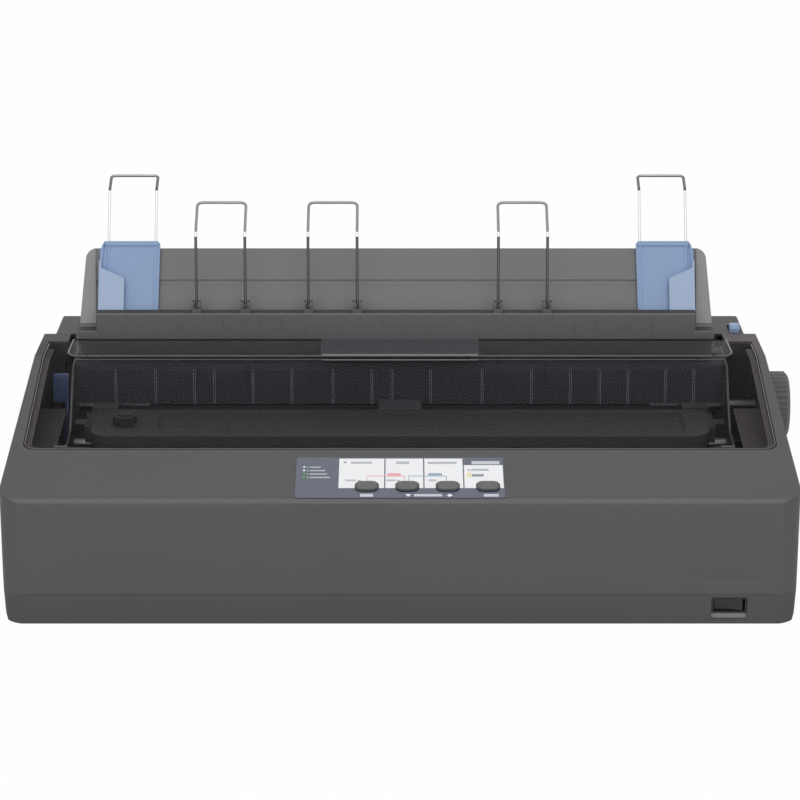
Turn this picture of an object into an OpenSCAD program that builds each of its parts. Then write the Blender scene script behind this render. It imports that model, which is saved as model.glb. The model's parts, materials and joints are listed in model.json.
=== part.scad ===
// Wide-carriage dot matrix printer, in millimetres.
// Front is -Y, the paper feed knob is on +X, and the feet stand on Z = 0.

/* [Housing] */
// Width of the housing without the knob
body_w = 616; // [612:1:618]
// Half width at the front corners, where the housing is widest
front_half = 312.5; // [312:0.5:313]
// Depth from the front face to the rear face
body_d = 402; // [400:1:404]
// Height of the top edge of the front face
front_h = 104; // [103:0.5:105]
// Y of the ridge where the top starts to fall to the rear
kink_y = 47.5; // [46:0.5:49]
// Height of that ridge
kink_z = 141; // [140.5:0.5:141.5]
// Y of the rear edge of the front housing
step_y = 127; // [126:0.5:128]
// Height at that edge
step_z = 135; // [134.5:0.5:135.5]
// Height of the seam between upper and lower housing
seam_z = 26; // [25.5:0.5:26.5]
// Wall thickness of the housing
wall = 2.5; // [2.3:0.1:2.6]
// Half width of the narrower rear housing
rear_half = 298; // [297:0.5:299]
// Corner radius in plan
corner_r = 22; // [20:1:24]

/* [Covers] */
// Thickness of the smoked cover
cover_t = 2.2; // [2:0.1:2.2]
// Front edge of the window opening
window_y = -117; // [-118:0.5:-116]
// Front edge of the exit flap
flap_y = 42.7; // [42:0.1:43]

/* [Paper path] */
// Centre of the platen as Y and Z
platen_c = [92, 82];
// Radius of the rubber platen
platen_r = 16; // [15.5:0.1:16]
// Half length of the platen
platen_half = 214; // [212:1:216]
// Shift of the rear guides to the left
guide_shift = -3.5; // [-4:0.5:-3]
// Lean of the sheet guide from upright, in degrees
guide_lean = 30; // [29:0.5:30]
// Radius of the chromed wire
wire_r = 1.25; // [1.2:0.05:1.25]

/* [Gears] */
// Gear module
gear_m = 1; // [1:1:1]
// Teeth of the platen gear
platen_teeth = 40; // [40:2:40]
// Teeth of the large and the small wheel of the reduction gear
reduction_teeth = [48, 16];
// Teeth of the motor pinion
pinion_teeth = 12; // [12:1:12]
// Teeth of the idler
idler_teeth = 42; // [42:1:42]
// Teeth of the tractor gear
tractor_teeth = 30; // [30:1:30]

/* [Hidden] */
$fn = 48;
half = body_w / 2;
front = -body_d / 2;
rear = body_d / 2;
knob_x = [311, 333.5];                  // inner and outer face of the knob
row_shift = -(knob_x[1] - front_half) / 2;  // centres the whole part, knob included, on X = 0
side_rate = (front_half - half) / (kink_y - front - corner_r);  // growth of the half width to the front
front_slope = atan((kink_z - front_h) / (kink_y - front));
rear_slope = atan((kink_z - step_z) / (step_y - kink_y));
frame_x = 276;                          // inner faces of the side frames
frame_t = 2;
rail_c = [146, 100];
tractor_c = [166, 100];
slide_c = [38, 66];                     // carriage shaft
steel = "lightsteelblue";
dark = [0.33, 0.33, 0.34];
blue = [0.5, 0.6, 0.75];

// Half width of the front housing at y
function side_x(y) = half + side_rate * max(0, kink_y - y);
function top_z(y) = y < kink_y ? front_h + (y - front) * tan(front_slope)
    : kink_z - (y - kink_y) * tan(rear_slope);
function arc(c, r, a0, a1, n = 8) =
    [for (i = [0:n]) let (a = a0 + (a1 - a0) * i / n) c + r * [cos(a), sin(a)]];
function round_rect(x0, y0, x1, y1, r, n = 8) = concat(
    arc([x1 - r, y1 - r], r, 0, 90, n), arc([x0 + r, y1 - r], r, 90, 180, n),
    arc([x0 + r, y0 + r], r, 180, 270, n), arc([x1 - r, y0 + r], r, 270, 360, n));

// Places children drawn about the middle of the housing in the frame of the whole part
module placed() { translate([row_shift, 0, 0]) children(); }
// Extrudes a YZ outline from x0 to x1
module along_x(x0, x1) { translate([x0, 0, 0]) rotate([90, 0, 90]) linear_extrude(x1 - x0) children(); }
// Extrudes an XZ outline from y0 to y1
module along_y(y0, y1) { translate([0, y1, 0]) rotate([90, 0, 0]) linear_extrude(y1 - y0) children(); }
module rod_x(c, r, x0, x1) { translate([x0, c[0], c[1]]) rotate([0, 90, 0]) cylinder(r = r, h = x1 - x0); }
module box(a, b) { translate(a) cube(b - a); }
module both_sides() { children(); mirror([1, 0, 0]) children(); }
// Frame of the sloping top at a given Y, with Z out of the surface
module on_slope(y) { translate([0, y, top_z(y)]) rotate([front_slope, 0, 0]) children(); }

// ---------- housing ----------
// Outer form of the front housing, inset by s at the sides and by t under the top
module front_form(s, t, z0) {
    intersection() {
        along_x(-front_half - 1, front_half + 1) polygon(concat(
            [[step_y - s, z0], [step_y - s, step_z - t], [kink_y, kink_z - t]],
            arc([front + s + 5, front_h + (s + 5) * tan(front_slope) - 5 / cos(front_slope) - t], 5,
                90 + front_slope, 180, 8),
            [[front + s + 0.5, z0]]));
        translate([0, 0, z0 - 1]) linear_extrude(kink_z + 20) polygon(concat(
            [[half - s, kink_y], [half - s, step_y + 1], [-half + s, step_y + 1], [-half + s, kink_y]],
            arc([-front_half + corner_r, front + corner_r], corner_r - s, 180, 270, 14),
            arc([front_half - corner_r, front + corner_r], corner_r - s, 270, 360, 14)));
        both_sides() along_y(front - 1, step_y + 1) polygon([[-1, z0 - 1],
            [front_half - s - 0.8, z0 - 1], [front_half - s, 95], [front_half - s, kink_z + 5],
            [-1, kink_z + 5]]);
    }
}
// Plan of the window opening, grown by g
module window_plan(g) {
    polygon(concat([[301.2 + g, 140], [-301.2 - g, 140]],
        arc([-291.2, window_y + 10], 10 + g, 180, 270), arc([291.2, window_y + 10], 10 + g, 270, 360)));
}
button_x = [-25.9, 5.7, 37.3, 68.8];
button_y = -178;
button_size = [17.7, 15.4];
button_r = 5;
led_y = [-147, -152.5, -158, -163.5];
led_x = -75.5;
hinge_c = [92, 134.5];                 // hinge of the smoked cover
post_x = 290;
post_y = [-178, -40, 108];

back_x = [-285, 279];                   // opening behind the covers
module upper_housing() {
    color(dark) placed() difference() {
        union() {
            difference() {
                front_form(0, 0, seam_z);
                difference() {
                    front_form(wall, wall, seam_z - 1);
                    // supporting ledge under the edge of the window
                    intersection() {
                        difference() {
                            front_form(wall - 0.5, wall - 0.1, seam_z);
                            front_form(wall - 0.5, wall + 2, seam_z - 1);
                        }
                        linear_extrude(200) difference() {
                            translate([-front_half, window_y - 3]) square([2 * front_half, 84 - window_y]);
                            polygon(round_rect(-295, window_y + 7, 295, 200, 8));
                        }
                    }
                    both_sides() for (x = [150, 250])
                        box([x, window_y - 40, 60], [x + 2, window_y - 3, 130]);
                }
                difference() {
                    translate([0, 0, 90]) linear_extrude(100) window_plan(0.3);
                    intersection() {
                        front_form(0, wall - 0.1, seam_z);
                        translate([0, 0, 80]) linear_extrude(100) difference() {
                            translate([-front_half, window_y - 3]) square([2 * front_half, 84 - window_y]);
                            polygon(round_rect(-295, window_y + 7, 295, 200, 8));
                        }
                    }
                    box([-half, 99.3, 80], [back_x[0], 140, 150]);
                    box([back_x[1], 99.3, 80], [half, 140, 150]);
                }
                box([back_x[0], 99, seam_z - 1], [back_x[1], 140, 200]);
                // room for the idler gear in the rear wall
                box([gear_x[0] - 1, step_y - wall - 1, idler_c[1] - 23],
                    [gear_x[1] + 1, step_y + 1, idler_c[1] + 23]);
            }
            both_sides() {
                // shelf beside the carriage, a little below the cover
                intersection() {
                    along_x(281, front_half)
                        polygon([[window_y + 5, 92], [36, 96], [36, 98], [window_y + 5, 94]]);
                    front_form(1, 1, seam_z);
                }
                // sockets of the cover hinge
                intersection() {
                    box([301.6, 85, 126], [half - 1, 99.6, 150]);
                    front_form(1, 0.6, seam_z);
                }
                // screw posts
                for (y = post_y) {
                    translate([post_x, y, seam_z]) cylinder(r = 5, h = 18);
                    box([post_x, y - 1, seam_z], [side_x(y) - 1, y + 1, 44]);
                }
            }
        }
        both_sides() rod_x(hinge_c, 2.1, 300, 305.4);
        both_sides() for (y = post_y) translate([post_x, y, seam_z - 1]) cylinder(r = 1.55, h = 16);
        for (x = button_x) on_slope(button_y) translate([0, 0, -12]) linear_extrude(20)
            translate([x, 0]) polygon(round_rect(-button_size[0] / 2 - 0.4, -button_size[1] / 2 - 0.4,
                button_size[0] / 2 + 0.4, button_size[1] / 2 + 0.4, button_r + 0.4, 5));
        for (y = led_y) on_slope(y) translate([led_x, 0, -8]) cylinder(r = 1.3, h = 12);
        rod_x(platen_c, 9, half - 6, half + 1);
        // plain recessed plate at the lower right of the front
        box([226, front - 1, 36.4], [282.5, front + 0.9, 46]);
    }
}

// Outer form of the rear housing, inset by s
module rear_form(s, z0) {
    intersection() {
        along_x(-rear_half + s, rear_half - s) polygon(concat([[step_y, z0], [step_y, step_z - s]],
            arc([rear - 12, 119 + s * 0.4], 12 - s, 82, 0, 6), [[rear - s, z0]]));
        translate([0, 0, z0]) linear_extrude(150) polygon(concat(
            [[-rear_half + s, step_y - 1], [rear_half - s, step_y - 1]],
            arc([rear_half - 14, rear - 14], 14 - s, 0, 90, 8),
            arc([-rear_half + 14, rear - 14], 14 - s, 90, 180, 8)));
    }
}
well_x = [-281, 272.5];                 // ends of the open well behind the platen
well_z = 78;                            // height of the rear wall where paper comes in
tilt_c = [131, 128];                    // pivot of the sheet guide
release_c = [138, 80];                  // pivot of the paper release lever
inlet_x = [-214, -187];
inlet_z = [34, 55];
port_spans = [[70, 132, 36, 50], [146, 178, 36, 49], [192, 205, 36, 48]];  // x0, x1, z0, z1

module rear_cover() {
    color(dark * 0.9) placed() difference() {
        union() {
            difference() {
                rear_form(0, seam_z);
                translate([0, -0.5, 0]) rear_form(wall, seam_z - 1);
                box([well_x[0], step_y - 1, well_z], [well_x[1], rear + 1, 200]);
            }
            for (x = [well_x[0] - wall, well_x[1]]) intersection() {
                box([x, step_y, 60], [x + wall, rear - 1, 200]);
                rear_form(1, seam_z);
            }
            // ribs over which the paper climbs the rear wall
            for (x = [-240:30:240]) translate([x, 0, 0]) along_x(-0.8, 0.8)
                polygon([[rear - wall - 9, well_z - 6], [rear - wall - 7, well_z], [rear - 1, well_z],
                    [rear - 1, 62], [rear - wall - 0.2, 62]]);
            // rounded lip of the paper entry
            rod_x([rear - 2.5, well_z - 0.5], 2.5, well_x[0] - 1, well_x[1] + 1);
        }
        for (x = [well_x[0] - wall, well_x[1]]) rod_x(tilt_c, 2.6, x - 1, x + wall + 1);
        // notch for the gears and the shafts in the left inner wall
        box([well_x[0] - wall - 1, step_y - 1, 40], [well_x[0] + 1, 172, 108]);
        // holes for the tractor shaft and its rail in the right inner wall
        rod_x(tractor_c, 6, well_x[1] - 1, well_x[1] + wall + 1);
        rod_x(rail_c, 5, well_x[1] - 1, well_x[1] + wall + 1);
        // slot of the release lever
        box([285.8, 129.4, 120], [295.3, 158, 150]);
        box([inlet_x[0] - 0.2, rear - 5, inlet_z[0] - 0.2], [inlet_x[1] + 0.2, rear + 1, inlet_z[1] + 0.2]);
        for (p = port_spans) box([p[0] - 0.5, rear - 5, p[2] - 0.5], [p[1] + 0.5, rear + 1, p[3] + 0.5]);
        // cooling slots
        for (x = [-150:8:30]) box([x, rear - 5, 34], [x + 3, rear + 1, 60]);
    }
}

base_z = 1.2;                           // underside of the lower housing
switch_x = [243.8, 271.6];
switch_z = [10.2, 24];
module case_plan(s) {
    polygon(concat([[rear_half - s, rear - 14], [rear_half - s, step_y - s], [half - s, step_y - s],
            [half - s, kink_y]],
        arc([front_half - corner_r, front + corner_r], corner_r - s, 360, 270, 14),
        arc([-front_half + corner_r, front + corner_r], corner_r - s, 270, 180, 14),
        [[-half + s, kink_y], [-half + s, step_y - s], [-rear_half + s, step_y - s]],
        arc([-rear_half + 14, rear - 14], 14 - s, 180, 90, 8),
        arc([rear_half - 14, rear - 14], 14 - s, 90, 0, 8)));
}
module case_form(s, z0) {
    intersection() {
        translate([0, 0, z0]) linear_extrude(seam_z - z0 + (s > 0 ? 1 : 0)) case_plan(s);
        both_sides() along_y(front - 1, rear + 1) polygon([[-1, base_z - 1],
            [front_half - 4.6 - s, base_z - 1], [front_half - 2.6 - s, base_z + 5],
            [front_half - 0.7 - s, seam_z + 2], [-1, seam_z + 2]]);
        along_x(-front_half - 1, front_half + 1) polygon([[front + 1.4 + s, base_z - 1],
            [rear - s, base_z - 1], [rear - s, seam_z + 2], [front - 0.1 + s, seam_z + 2],
            [front + 0.4 + s, base_z + 3]]);
    }
}
module lower_case() {
    color(dark * 0.85) placed() difference() {
        union() {
            difference() {
                case_form(0, base_z);
                case_form(wall, base_z + wall);
            }
            for (y = post_y) both_sides() translate([post_x, y, base_z + 1])
                cylinder(r = 5, h = seam_z - base_z - 1);
            // stiffening ribs on the floor
            for (y = [-170, -130, -90]) box([-280, y, base_z + 1], [236, y + 2, 14]);
            for (x = [-240, -120, 0, 120, 230]) box([x, -172, base_z + 1], [x + 2, -88, 12]);
        }
        for (y = post_y) both_sides() translate([post_x, y, base_z - 1]) {
            cylinder(r = 3.4, h = 8);
            cylinder(r = 1.7, h = 30);
        }
        // ventilation slots
        for (x = [-200:12:-60]) box([x, -70, base_z - 1], [x + 5, -64, base_z + wall + 1]);
        for (x = [60:12:200]) box([x, -70, base_z - 1], [x + 5, -64, base_z + wall + 1]);
        box([switch_x[0], front - 1, switch_z[0]], [switch_x[1], front + 8, switch_z[1]]);
        // scooped ledge below the switch
        box([switch_x[0], front - 1, 5.8], [switch_x[1], front + 2.4, switch_z[0] + 1]);
    }
}
feet = [[-268, -170], [268, -170], [268, 168], [-268, 168]];
module rubber_feet() {
    color([0.12, 0.12, 0.12]) placed() for (p = feet) translate(p) rotate_extrude()
        polygon([[0, 0], [7.5, 0], [9, 0.6], [9, base_z], [0, base_z]]);
}

// ---------- smoked covers ----------
cover_cut = 272;                        // half width of the gap that the flap closes
flap_half = 280;
flap_r = 7;                             // corner radius of the flap in plan
lug_x = [262, 265];                     // lugs of the flap's pins
module printer_cover() {
    color([0.2, 0.19, 0.22, 0.6]) placed() difference() {
        union() {
            intersection() {
                along_x(-302, 302) polygon([[window_y - 1, top_z(window_y - 1)], [kink_y, kink_z],
                    [120, top_z(120)], [120, top_z(120) - cover_t], [kink_y, kink_z - cover_t],
                    [window_y - 1, top_z(window_y - 1) - cover_t]]);
                linear_extrude(200) difference() {
                    polygon(concat(arc([294.7, 92.5], 6, 0, 90), arc([-294.7, 92.5], 6, 90, 180),
                        arc([-290.7, window_y + 10.5], 10, 180, 270),
                        arc([290.7, window_y + 10.5], 10, 270, 360)));
                    translate([-cover_cut, 51]) square([2 * cover_cut, 60]);
                }
            }
            both_sides() {
                rod_x(hinge_c, 3.2, 293.5, 300.7);
                rod_x(hinge_c, 2, 295, 305);
                // lugs that hold the pins of the flap
                intersection() {
                    box([lug_x[0], 39, 134], [lug_x[1], 46.4, top_z(flap_y) + 3.6]);
                    rod_x([flap_y, top_z(flap_y) + 1.2], 3.4, lug_x[0] - 1, lug_x[1] + 1);
                }
            }
            // stiffening rail under the front edge
            along_x(-285, 285) polygon([for (p = [[9, -2], [11, -2], [11, -5], [9, -5]])
                [window_y + p[0], top_z(window_y + p[0]) + p[1]]]);
        }
        both_sides() rod_x([flap_y, top_z(flap_y) + 1.75], 1.1, lug_x[0] - 1, lug_x[1] + 1);
    }
}
module exit_flap() {
    pin_z = top_z(flap_y) + 1.75;
    color([0.25, 0.24, 0.27, 0.6]) placed() {
        intersection() {
            union() {
                rod_x([flap_y, pin_z], 1.5, flap_r - flap_half, flap_half - flap_r);
                along_x(-flap_half, flap_half) polygon([[flap_y, pin_z - 0.9], [47.5, kink_z + 0.6],
                    [97, top_z(97) + 0.6], [97, top_z(97) + 2.4], [47.5, kink_z + 2.5],
                    [flap_y, pin_z + 1.3]]);
            }
            linear_extrude(200) difference() {
                polygon(concat([[flap_half, 98], [-flap_half, 98]],
                    arc([flap_r - flap_half, flap_y - 1.5 + flap_r], flap_r, 180, 270),
                    arc([flap_half - flap_r, flap_y - 1.5 + flap_r], flap_r, 270, 360)));
                both_sides() translate([lug_x[0] - 1.2, 30]) square([lug_x[1] - lug_x[0] + 2.4, 18]);
            }
        }
        both_sides() rod_x([flap_y, pin_z], 1, lug_x[0] - 2, lug_x[1] + 2);
    }
}

// ---------- rear guides ----------
foot_c = [109, 167];                    // pivot of the short wires
short_x = [-153.7, -57.7, 105.2];
short_half = 21;
clip_w = 4;
guide_ribs = [-232, -205, -184, -166, -147, -132, -117, -98, -78, -60, -44, -31, -11, 10, 30, 50, 70, 85,
    100, 118, 135, 154, 173, 202, 220, 237];
module ribbed_guide() {
    color(dark * 0.95) placed() difference() {
        union() {
            translate([guide_shift, 0, 0]) {
                along_x(-257, 257) polygon([[102.6, 128], [102.2, 138], [104.4, 159.2], [105.4, 160.2],
                    [113.6, 161], [114.8, 159.6], [114.6, 128]]);
                along_x(-272.4, 272.4) polygon([[102.6, 120], [102.2, 138], [103, 144.6], [104, 145.4],
                    [114.4, 145.6], [114.6, 120]]);
                for (x = guide_ribs) translate([x, 0, 0]) along_x(-0.7, 0.7) polygon(
                    [[103, 122], [101.6, 138], [103.8, 159.4], [105.6, 160.6], [113, 161.2], [113, 122]]);
            }
            both_sides() box([250, 104.2, 119], [frame_x, 112.6, 127.4]);
            // clips of the short wires
            for (x = short_x, s = [-1, 1]) translate([x + s * short_half, 0, 0])
                difference() {
                    along_x(-clip_w, clip_w) polygon(concat([[105.2, 158]],
                        arc(foot_c, 3.8, 180, 0, 10), [[112.8, 158]]));
                    box([-1.7, 100, foot_c[1] - 2.6], [1.7, 116, 175]);
                }
        }
        // hollow from below
        translate([guide_shift, 0, 0]) {
            along_x(-254, 254) polygon([[104.9, 119], [104.6, 138], [106.6, 158], [112.6, 158.4],
                [112.4, 119]]);
            along_x(-270, 270) polygon([[104.9, 119], [104.6, 138], [104.8, 143], [112.3, 143],
                [112.4, 119]]);
        }
        for (x = short_x, s = [-1, 1]) translate([x + s * short_half, 0, 0])
            rod_x(foot_c, wire_r + 0.08, -clip_w - 1, clip_w + 1);
    }
}
// Direction in the YZ plane, by its angle from +Y
function dir(a) = [cos(a), sin(a)];
function angle_of(v) = atan2(v[1], v[0]);
// Stretch of wire in the YZ plane from p to q, running on by a little at both ends into its bends
wire_lap = 0.2;
module wire_run(x, p, q) {
    d = q - p;
    l = norm(d);
    translate([x, p[0], p[1]]) rotate([angle_of(d) - 90, 0, 0]) translate([0, 0, -wire_lap])
        cylinder(r = wire_r, h = l + 2 * wire_lap, $fn = 24);
}
module wire_turn(round_r, angle) {
    rotate_extrude(angle = angle) translate([round_r, 0]) circle(r = wire_r - 0.02, $fn = 24);
}
// A wire loop: two legs from foot to bend, on to the tip, and a top bar with round corners
module wire_loop(x0, x1, foot, bend, tip, bend_r, round_r) {
    a = angle_of(bend - foot);
    b = angle_of(tip - bend);
    cut = bend_r * tan((a - b) / 2);
    knee = tip - round_r * dir(b);
    centre = bend - cut * dir(a) + bend_r * dir(a - 90);
    for (x = [x0, x1]) {
        wire_run(x, foot, bend - cut * dir(a));
        translate([x, centre[0], centre[1]]) rotate([90, 0, 90]) rotate([0, 0, b + 90])
            wire_turn(bend_r, a - b);
        wire_run(x, bend + cut * dir(b), knee);
    }
    translate([0, knee[0], knee[1]]) rotate([b - 90, 0, 0]) {
        translate([x0 + round_r, 0, 0]) rotate([90, 0, 180]) wire_turn(round_r, 90);
        translate([x1 - round_r, 0, 0]) rotate([90, 0, 0]) wire_turn(round_r, 90);
        translate([x0 + round_r - wire_lap, 0, round_r]) rotate([0, 90, 0])
            cylinder(r = wire_r, h = x1 - x0 - 2 * (round_r - wire_lap), $fn = 24);
    }
}
short_bend = foot_c + 61 * [sin(8), cos(8)];
short_tip = short_bend + 38 * [cos(30), sin(30)];
module paper_wire(x) {
    color("silver") placed() {
        wire_loop(x - short_half, x + short_half, foot_c, short_bend, short_tip, 4, 5);
        for (s = [-1, 1]) {
            translate([x + s * short_half, foot_c[0], foot_c[1]]) sphere(r = wire_r + 0.1);
            rod_x(foot_c, wire_r, x + s * short_half - (s < 0 ? 3.8 : 0),
                x + s * short_half + (s > 0 ? 3.8 : 0));
        }
    }
}
module paper_wire_1() { paper_wire(short_x[0]); }
module paper_wire_2() { paper_wire(short_x[1]); }
module paper_wire_3() { paper_wire(short_x[2]); }

// Frame of the sheet guide: Z up along the sheet, -Y out of its front face
guide_o = [121, 146];
module on_guide() { translate([0, guide_o[0], guide_o[1]]) rotate([-guide_lean, 0, 0]) children(); }
sheet_half = 272.8;
sheet_top = 67;
sheet_t = 2.6;
rail_u = [34, 39];                      // groove that the edge guides slide in
module sheet_guide() {
    color([0.47, 0.47, 0.48]) placed() {
        translate([guide_shift, 0, 0]) on_guide() {
            difference() {
                along_y(0, sheet_t) polygon(concat([[sheet_half, -5], [sheet_half - 4, sheet_top - 10]],
                    arc([sheet_half - 14, sheet_top - 10], 10, 0, 90),
                    arc([-sheet_half + 14, sheet_top - 10], 10, 90, 180), [[-sheet_half, -5]]));
                box([-sheet_half + 14, -1, rail_u[0]], [sheet_half - 14, 1.2, rail_u[1]]);
            }
            // raised bands along both ends
            both_sides() along_y(-1.2, 0.5) polygon(concat(
                [[sheet_half, 0], [sheet_half - 4, sheet_top - 10]],
                arc([sheet_half - 14, sheet_top - 10], 10, 0, 80), [[sheet_half - 14, 0]]));
            // ribs behind
            for (x = [-240:60:240]) box([x - 0.8, sheet_t - 0.5, 2], [x + 0.8, sheet_t + 4, sheet_top - 6]);
            box([-250, sheet_t - 0.5, 8], [250, sheet_t + 3.5, 9.6]);
        }
        // arms and pivot pins
        for (s = [-1, 1]) translate([guide_shift + s * (sheet_half - 2.6), 0, 0]) {
            along_x(-2.4, 2.4) polygon([[119.2, 142], [126, 131], [132, 124.5], [136, 129], [130, 150],
                [127, 152]]);
            rod_x(tilt_c, 5, -2.4, 2.4);
        }
        rod_x(tilt_c, 2.5, well_x[0] - wall, -sheet_half + guide_shift + 1);
        rod_x(tilt_c, 2.5, sheet_half + guide_shift - 1, well_x[1] + wall);
    }
}
// An edge guide, drawn for the left side. w is its width, legs the places of its wire
guide_u = [8, 72];
edge_left = [-260, -207.8];
edge_right = [254.2, 204.4];
leg_r = wire_r + 0.1;
leg_v = -2.9;                           // depth of the wire in the guide
module edge_guide(x, legs) {
    s = x[1] > x[0] ? 1 : -1;
    w = abs(x[1] - x[0]);
    color(blue) placed() translate([x[0], 0, 0]) mirror([s > 0 ? 0 : 1, 0, 0]) on_guide() difference() {
        union() {
            // base
            along_y(-4.6, -1.5) polygon([[0, guide_u[0]], [w - 1, guide_u[0]], [w, guide_u[1] - 2],
                [w - 2, guide_u[1]], [4, guide_u[1]], [0, guide_u[1] - 8]]);
            // beads that hold the wire
            for (l = legs) translate([s * (l - x[0]), leg_v, guide_u[0]])
                cylinder(r = 2.4, h = guide_u[1] - guide_u[0]);
            // outer wall with its front lip
            along_y(-11.4, -2) polygon([[0, guide_u[0]], [2, guide_u[0]], [2, 52], [0, 54]]);
            along_y(-11.4, -9.4) polygon([[0, guide_u[0]], [22, guide_u[0]], [22, 37], [20, 39], [2, 47],
                [0, 52]]);
            along_y(-7, -2) polygon([[0, 50], [2, 50], [4, guide_u[1] - 1], [2, guide_u[1] - 4]]);
            // shoe in the groove of the sheet guide
            box([6, -2, rail_u[0] + 0.4], [w - 4, 0.9, rail_u[1] - 0.4]);
            // top bar
            along_y(-6, -1.5) polygon([[4, guide_u[1] - 4], [w - 1.2, guide_u[1] - 4],
                [w - 2, guide_u[1]], [4.6, guide_u[1]]]);
        }
        for (l = legs) translate([s * (l - x[0]), leg_v, guide_u[0] - 1]) cylinder(r = leg_r, h = 70);
    }
}
legs_left = [-252.4, -211.7];
legs_right = [247.9, 207.9];
module edge_guide_left() { edge_guide(edge_left, legs_left); }
module edge_guide_right() { edge_guide(edge_right, legs_right); }
function guide_point(u, v) = guide_o + u * [sin(guide_lean), cos(guide_lean)]
    + v * [cos(guide_lean), -sin(guide_lean)];
tall_bend = guide_point(119, leg_v);
tall_tip = [rear - wire_r, tall_bend[1] + 6.4];
module guide_wire(legs) {
    color("silver") placed()
        wire_loop(min(legs), max(legs), guide_point(45, leg_v), tall_bend, tall_tip, 3, 3.4);
}
module guide_wire_left() { guide_wire(legs_left); }
module guide_wire_right() { guide_wire(legs_right); }

// ---------- control panel and switch ----------
label_y = [-196, -131];
label_x = [-82, 82];
label_t = 0.5;
module panel_label() {
    color([0.41, 0.43, 0.49]) placed() difference() {
        on_slope(label_y[0]) translate([0, 0, 0.005]) linear_extrude(label_t)
            polygon(round_rect(label_x[0], 0, label_x[1],
                (label_y[1] - label_y[0]) / cos(front_slope), 2, 4));
        for (x = button_x) on_slope(button_y) translate([x, 0, -2]) linear_extrude(8)
            polygon(round_rect(-button_size[0] / 2 - 0.4, -button_size[1] / 2 - 0.4,
                button_size[0] / 2 + 0.4, button_size[1] / 2 + 0.4, button_r + 0.4, 5));
        for (y = led_y) on_slope(y) translate([led_x, 0, -2]) cylinder(r = 1.3, h = 4);
    }
}
module button(i) {
    color([0.32, 0.32, 0.35]) placed() on_slope(button_y) translate([button_x[i], 0, 0]) {
        translate([0, 0, -8]) linear_extrude(9.4) polygon(round_rect(-button_size[0] / 2,
            -button_size[1] / 2, button_size[0] / 2, button_size[1] / 2, button_r, 5));
        translate([0, 0, 1.3]) linear_extrude(0.6) polygon(round_rect(-button_size[0] / 2 + 1,
            -button_size[1] / 2 + 1, button_size[0] / 2 - 1, button_size[1] / 2 - 1, button_r - 1, 5));
        translate([0, 0, -4.2]) linear_extrude(1.2) square([21, 18], center = true);
    }
}
module button_1() { button(0); }
module button_2() { button(1); }
module button_3() { button(2); }
module button_4() { button(3); }
module panel_board() {
    color([0.1, 0.35, 0.2]) placed() {
        on_slope(button_y) translate([-84, -14, -13]) cube([168, 52, 1.6]);
        for (y = led_y) on_slope(y) translate([led_x, 0, -11.6]) {
            cylinder(r = 1.15, h = 11.9);
            translate([0, 0, 11.9]) sphere(r = 1.15);
        }
        for (x = button_x) on_slope(button_y) translate([x - 3, -3, -11.5]) cube([6, 6, 2]);
        // pegs up to the inner face of the housing
        for (x = [-70, 70]) on_slope(-150) translate([x, 0, -11.5])
            cylinder(r = 3, h = 11.5 - wall * cos(front_slope));
    }
}
module switch_bezel() {
    color([0.1, 0.1, 0.11]) placed() difference() {
        box([switch_x[0] + 0.2, front + 0.6, switch_z[0] + 0.2],
            [switch_x[1] - 0.2, front + 14, switch_z[1] - 0.2]);
        box([switch_x[0] + 1.6, front - 1, switch_z[0] + 1.6],
            [switch_x[1] - 1.6, front + 11, switch_z[1] - 1.6]);
        translate([rocker_c[0], rocker_c[1], switch_z[0] - 1]) cylinder(r = 1.05, h = 20, $fn = 24);
    }
}
rocker_c = [(switch_x[0] + switch_x[1]) / 2, front + 7];
rocker_tilt = 7;
module power_rocker() {
    color([0.14, 0.14, 0.15]) placed() translate(rocker_c) rotate(-rocker_tilt) {
        translate([0, 0, switch_z[0] + 2]) linear_extrude(switch_z[1] - switch_z[0] - 4)
            polygon([[-11.2, -4.6], [0, -3.6], [11.2, -4.6], [11.2, -2.4], [4, 3], [-4, 3], [-11.2, -2.4]]);
        translate([0, 0, switch_z[0] + 0.6]) cylinder(r = 1, h = switch_z[1] - switch_z[0] - 1.2, $fn = 24);
    }
}

// ---------- gears ----------
function gear_points(z) = [for (i = [0:z - 1], k = [[-0.28, -1.25], [-0.12, 1], [0.12, 1], [0.28, -1.25]])
    let (a = (i + k[0]) * 360 / z, r = gear_m * (z / 2 + k[1])) r * [cos(a), sin(a)]];
// Turn of a gear of zb teeth that meshes with one of za teeth turned by pa, at direction beta
function mesh_turn(beta, pa, za, zb) = beta + 180 + ((beta - pa) * za / 360 + 0.5) * 360 / zb;
small_teeth = reduction_teeth[1];
big_teeth = reduction_teeth[0];
reduction_dir = 235;
pinion_dir = 250;
reduction_c = platen_c + gear_m * (platen_teeth + small_teeth) / 2 * dir(reduction_dir);
pinion_c = reduction_c + gear_m * (big_teeth + pinion_teeth) / 2 * dir(pinion_dir);
// The idler sits where it meets both the platen gear and the tractor gear
reach_a = gear_m * (platen_teeth + idler_teeth) / 2;
reach_b = gear_m * (idler_teeth + tractor_teeth) / 2;
span = norm(tractor_c - platen_c);
near = (reach_a * reach_a - reach_b * reach_b + span * span) / (2 * span);
idler_dir = angle_of(tractor_c - platen_c) - acos(near / reach_a);
idler_c = platen_c + reach_a * dir(idler_dir);
tractor_dir = angle_of(tractor_c - idler_c);
small_turn = mesh_turn(reduction_dir, 0, platen_teeth, small_teeth);
pinion_turn = mesh_turn(pinion_dir, small_turn, big_teeth, pinion_teeth);
idler_turn = mesh_turn(idler_dir, 0, platen_teeth, idler_teeth);
tractor_turn = mesh_turn(tractor_dir, idler_turn, idler_teeth, tractor_teeth);
gear_x = [-290, -285];                  // plane of the platen, idler and tractor gears
outer_x = [-296, -291];                 // plane of the large reduction wheel
shaft_r = 5;
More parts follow.
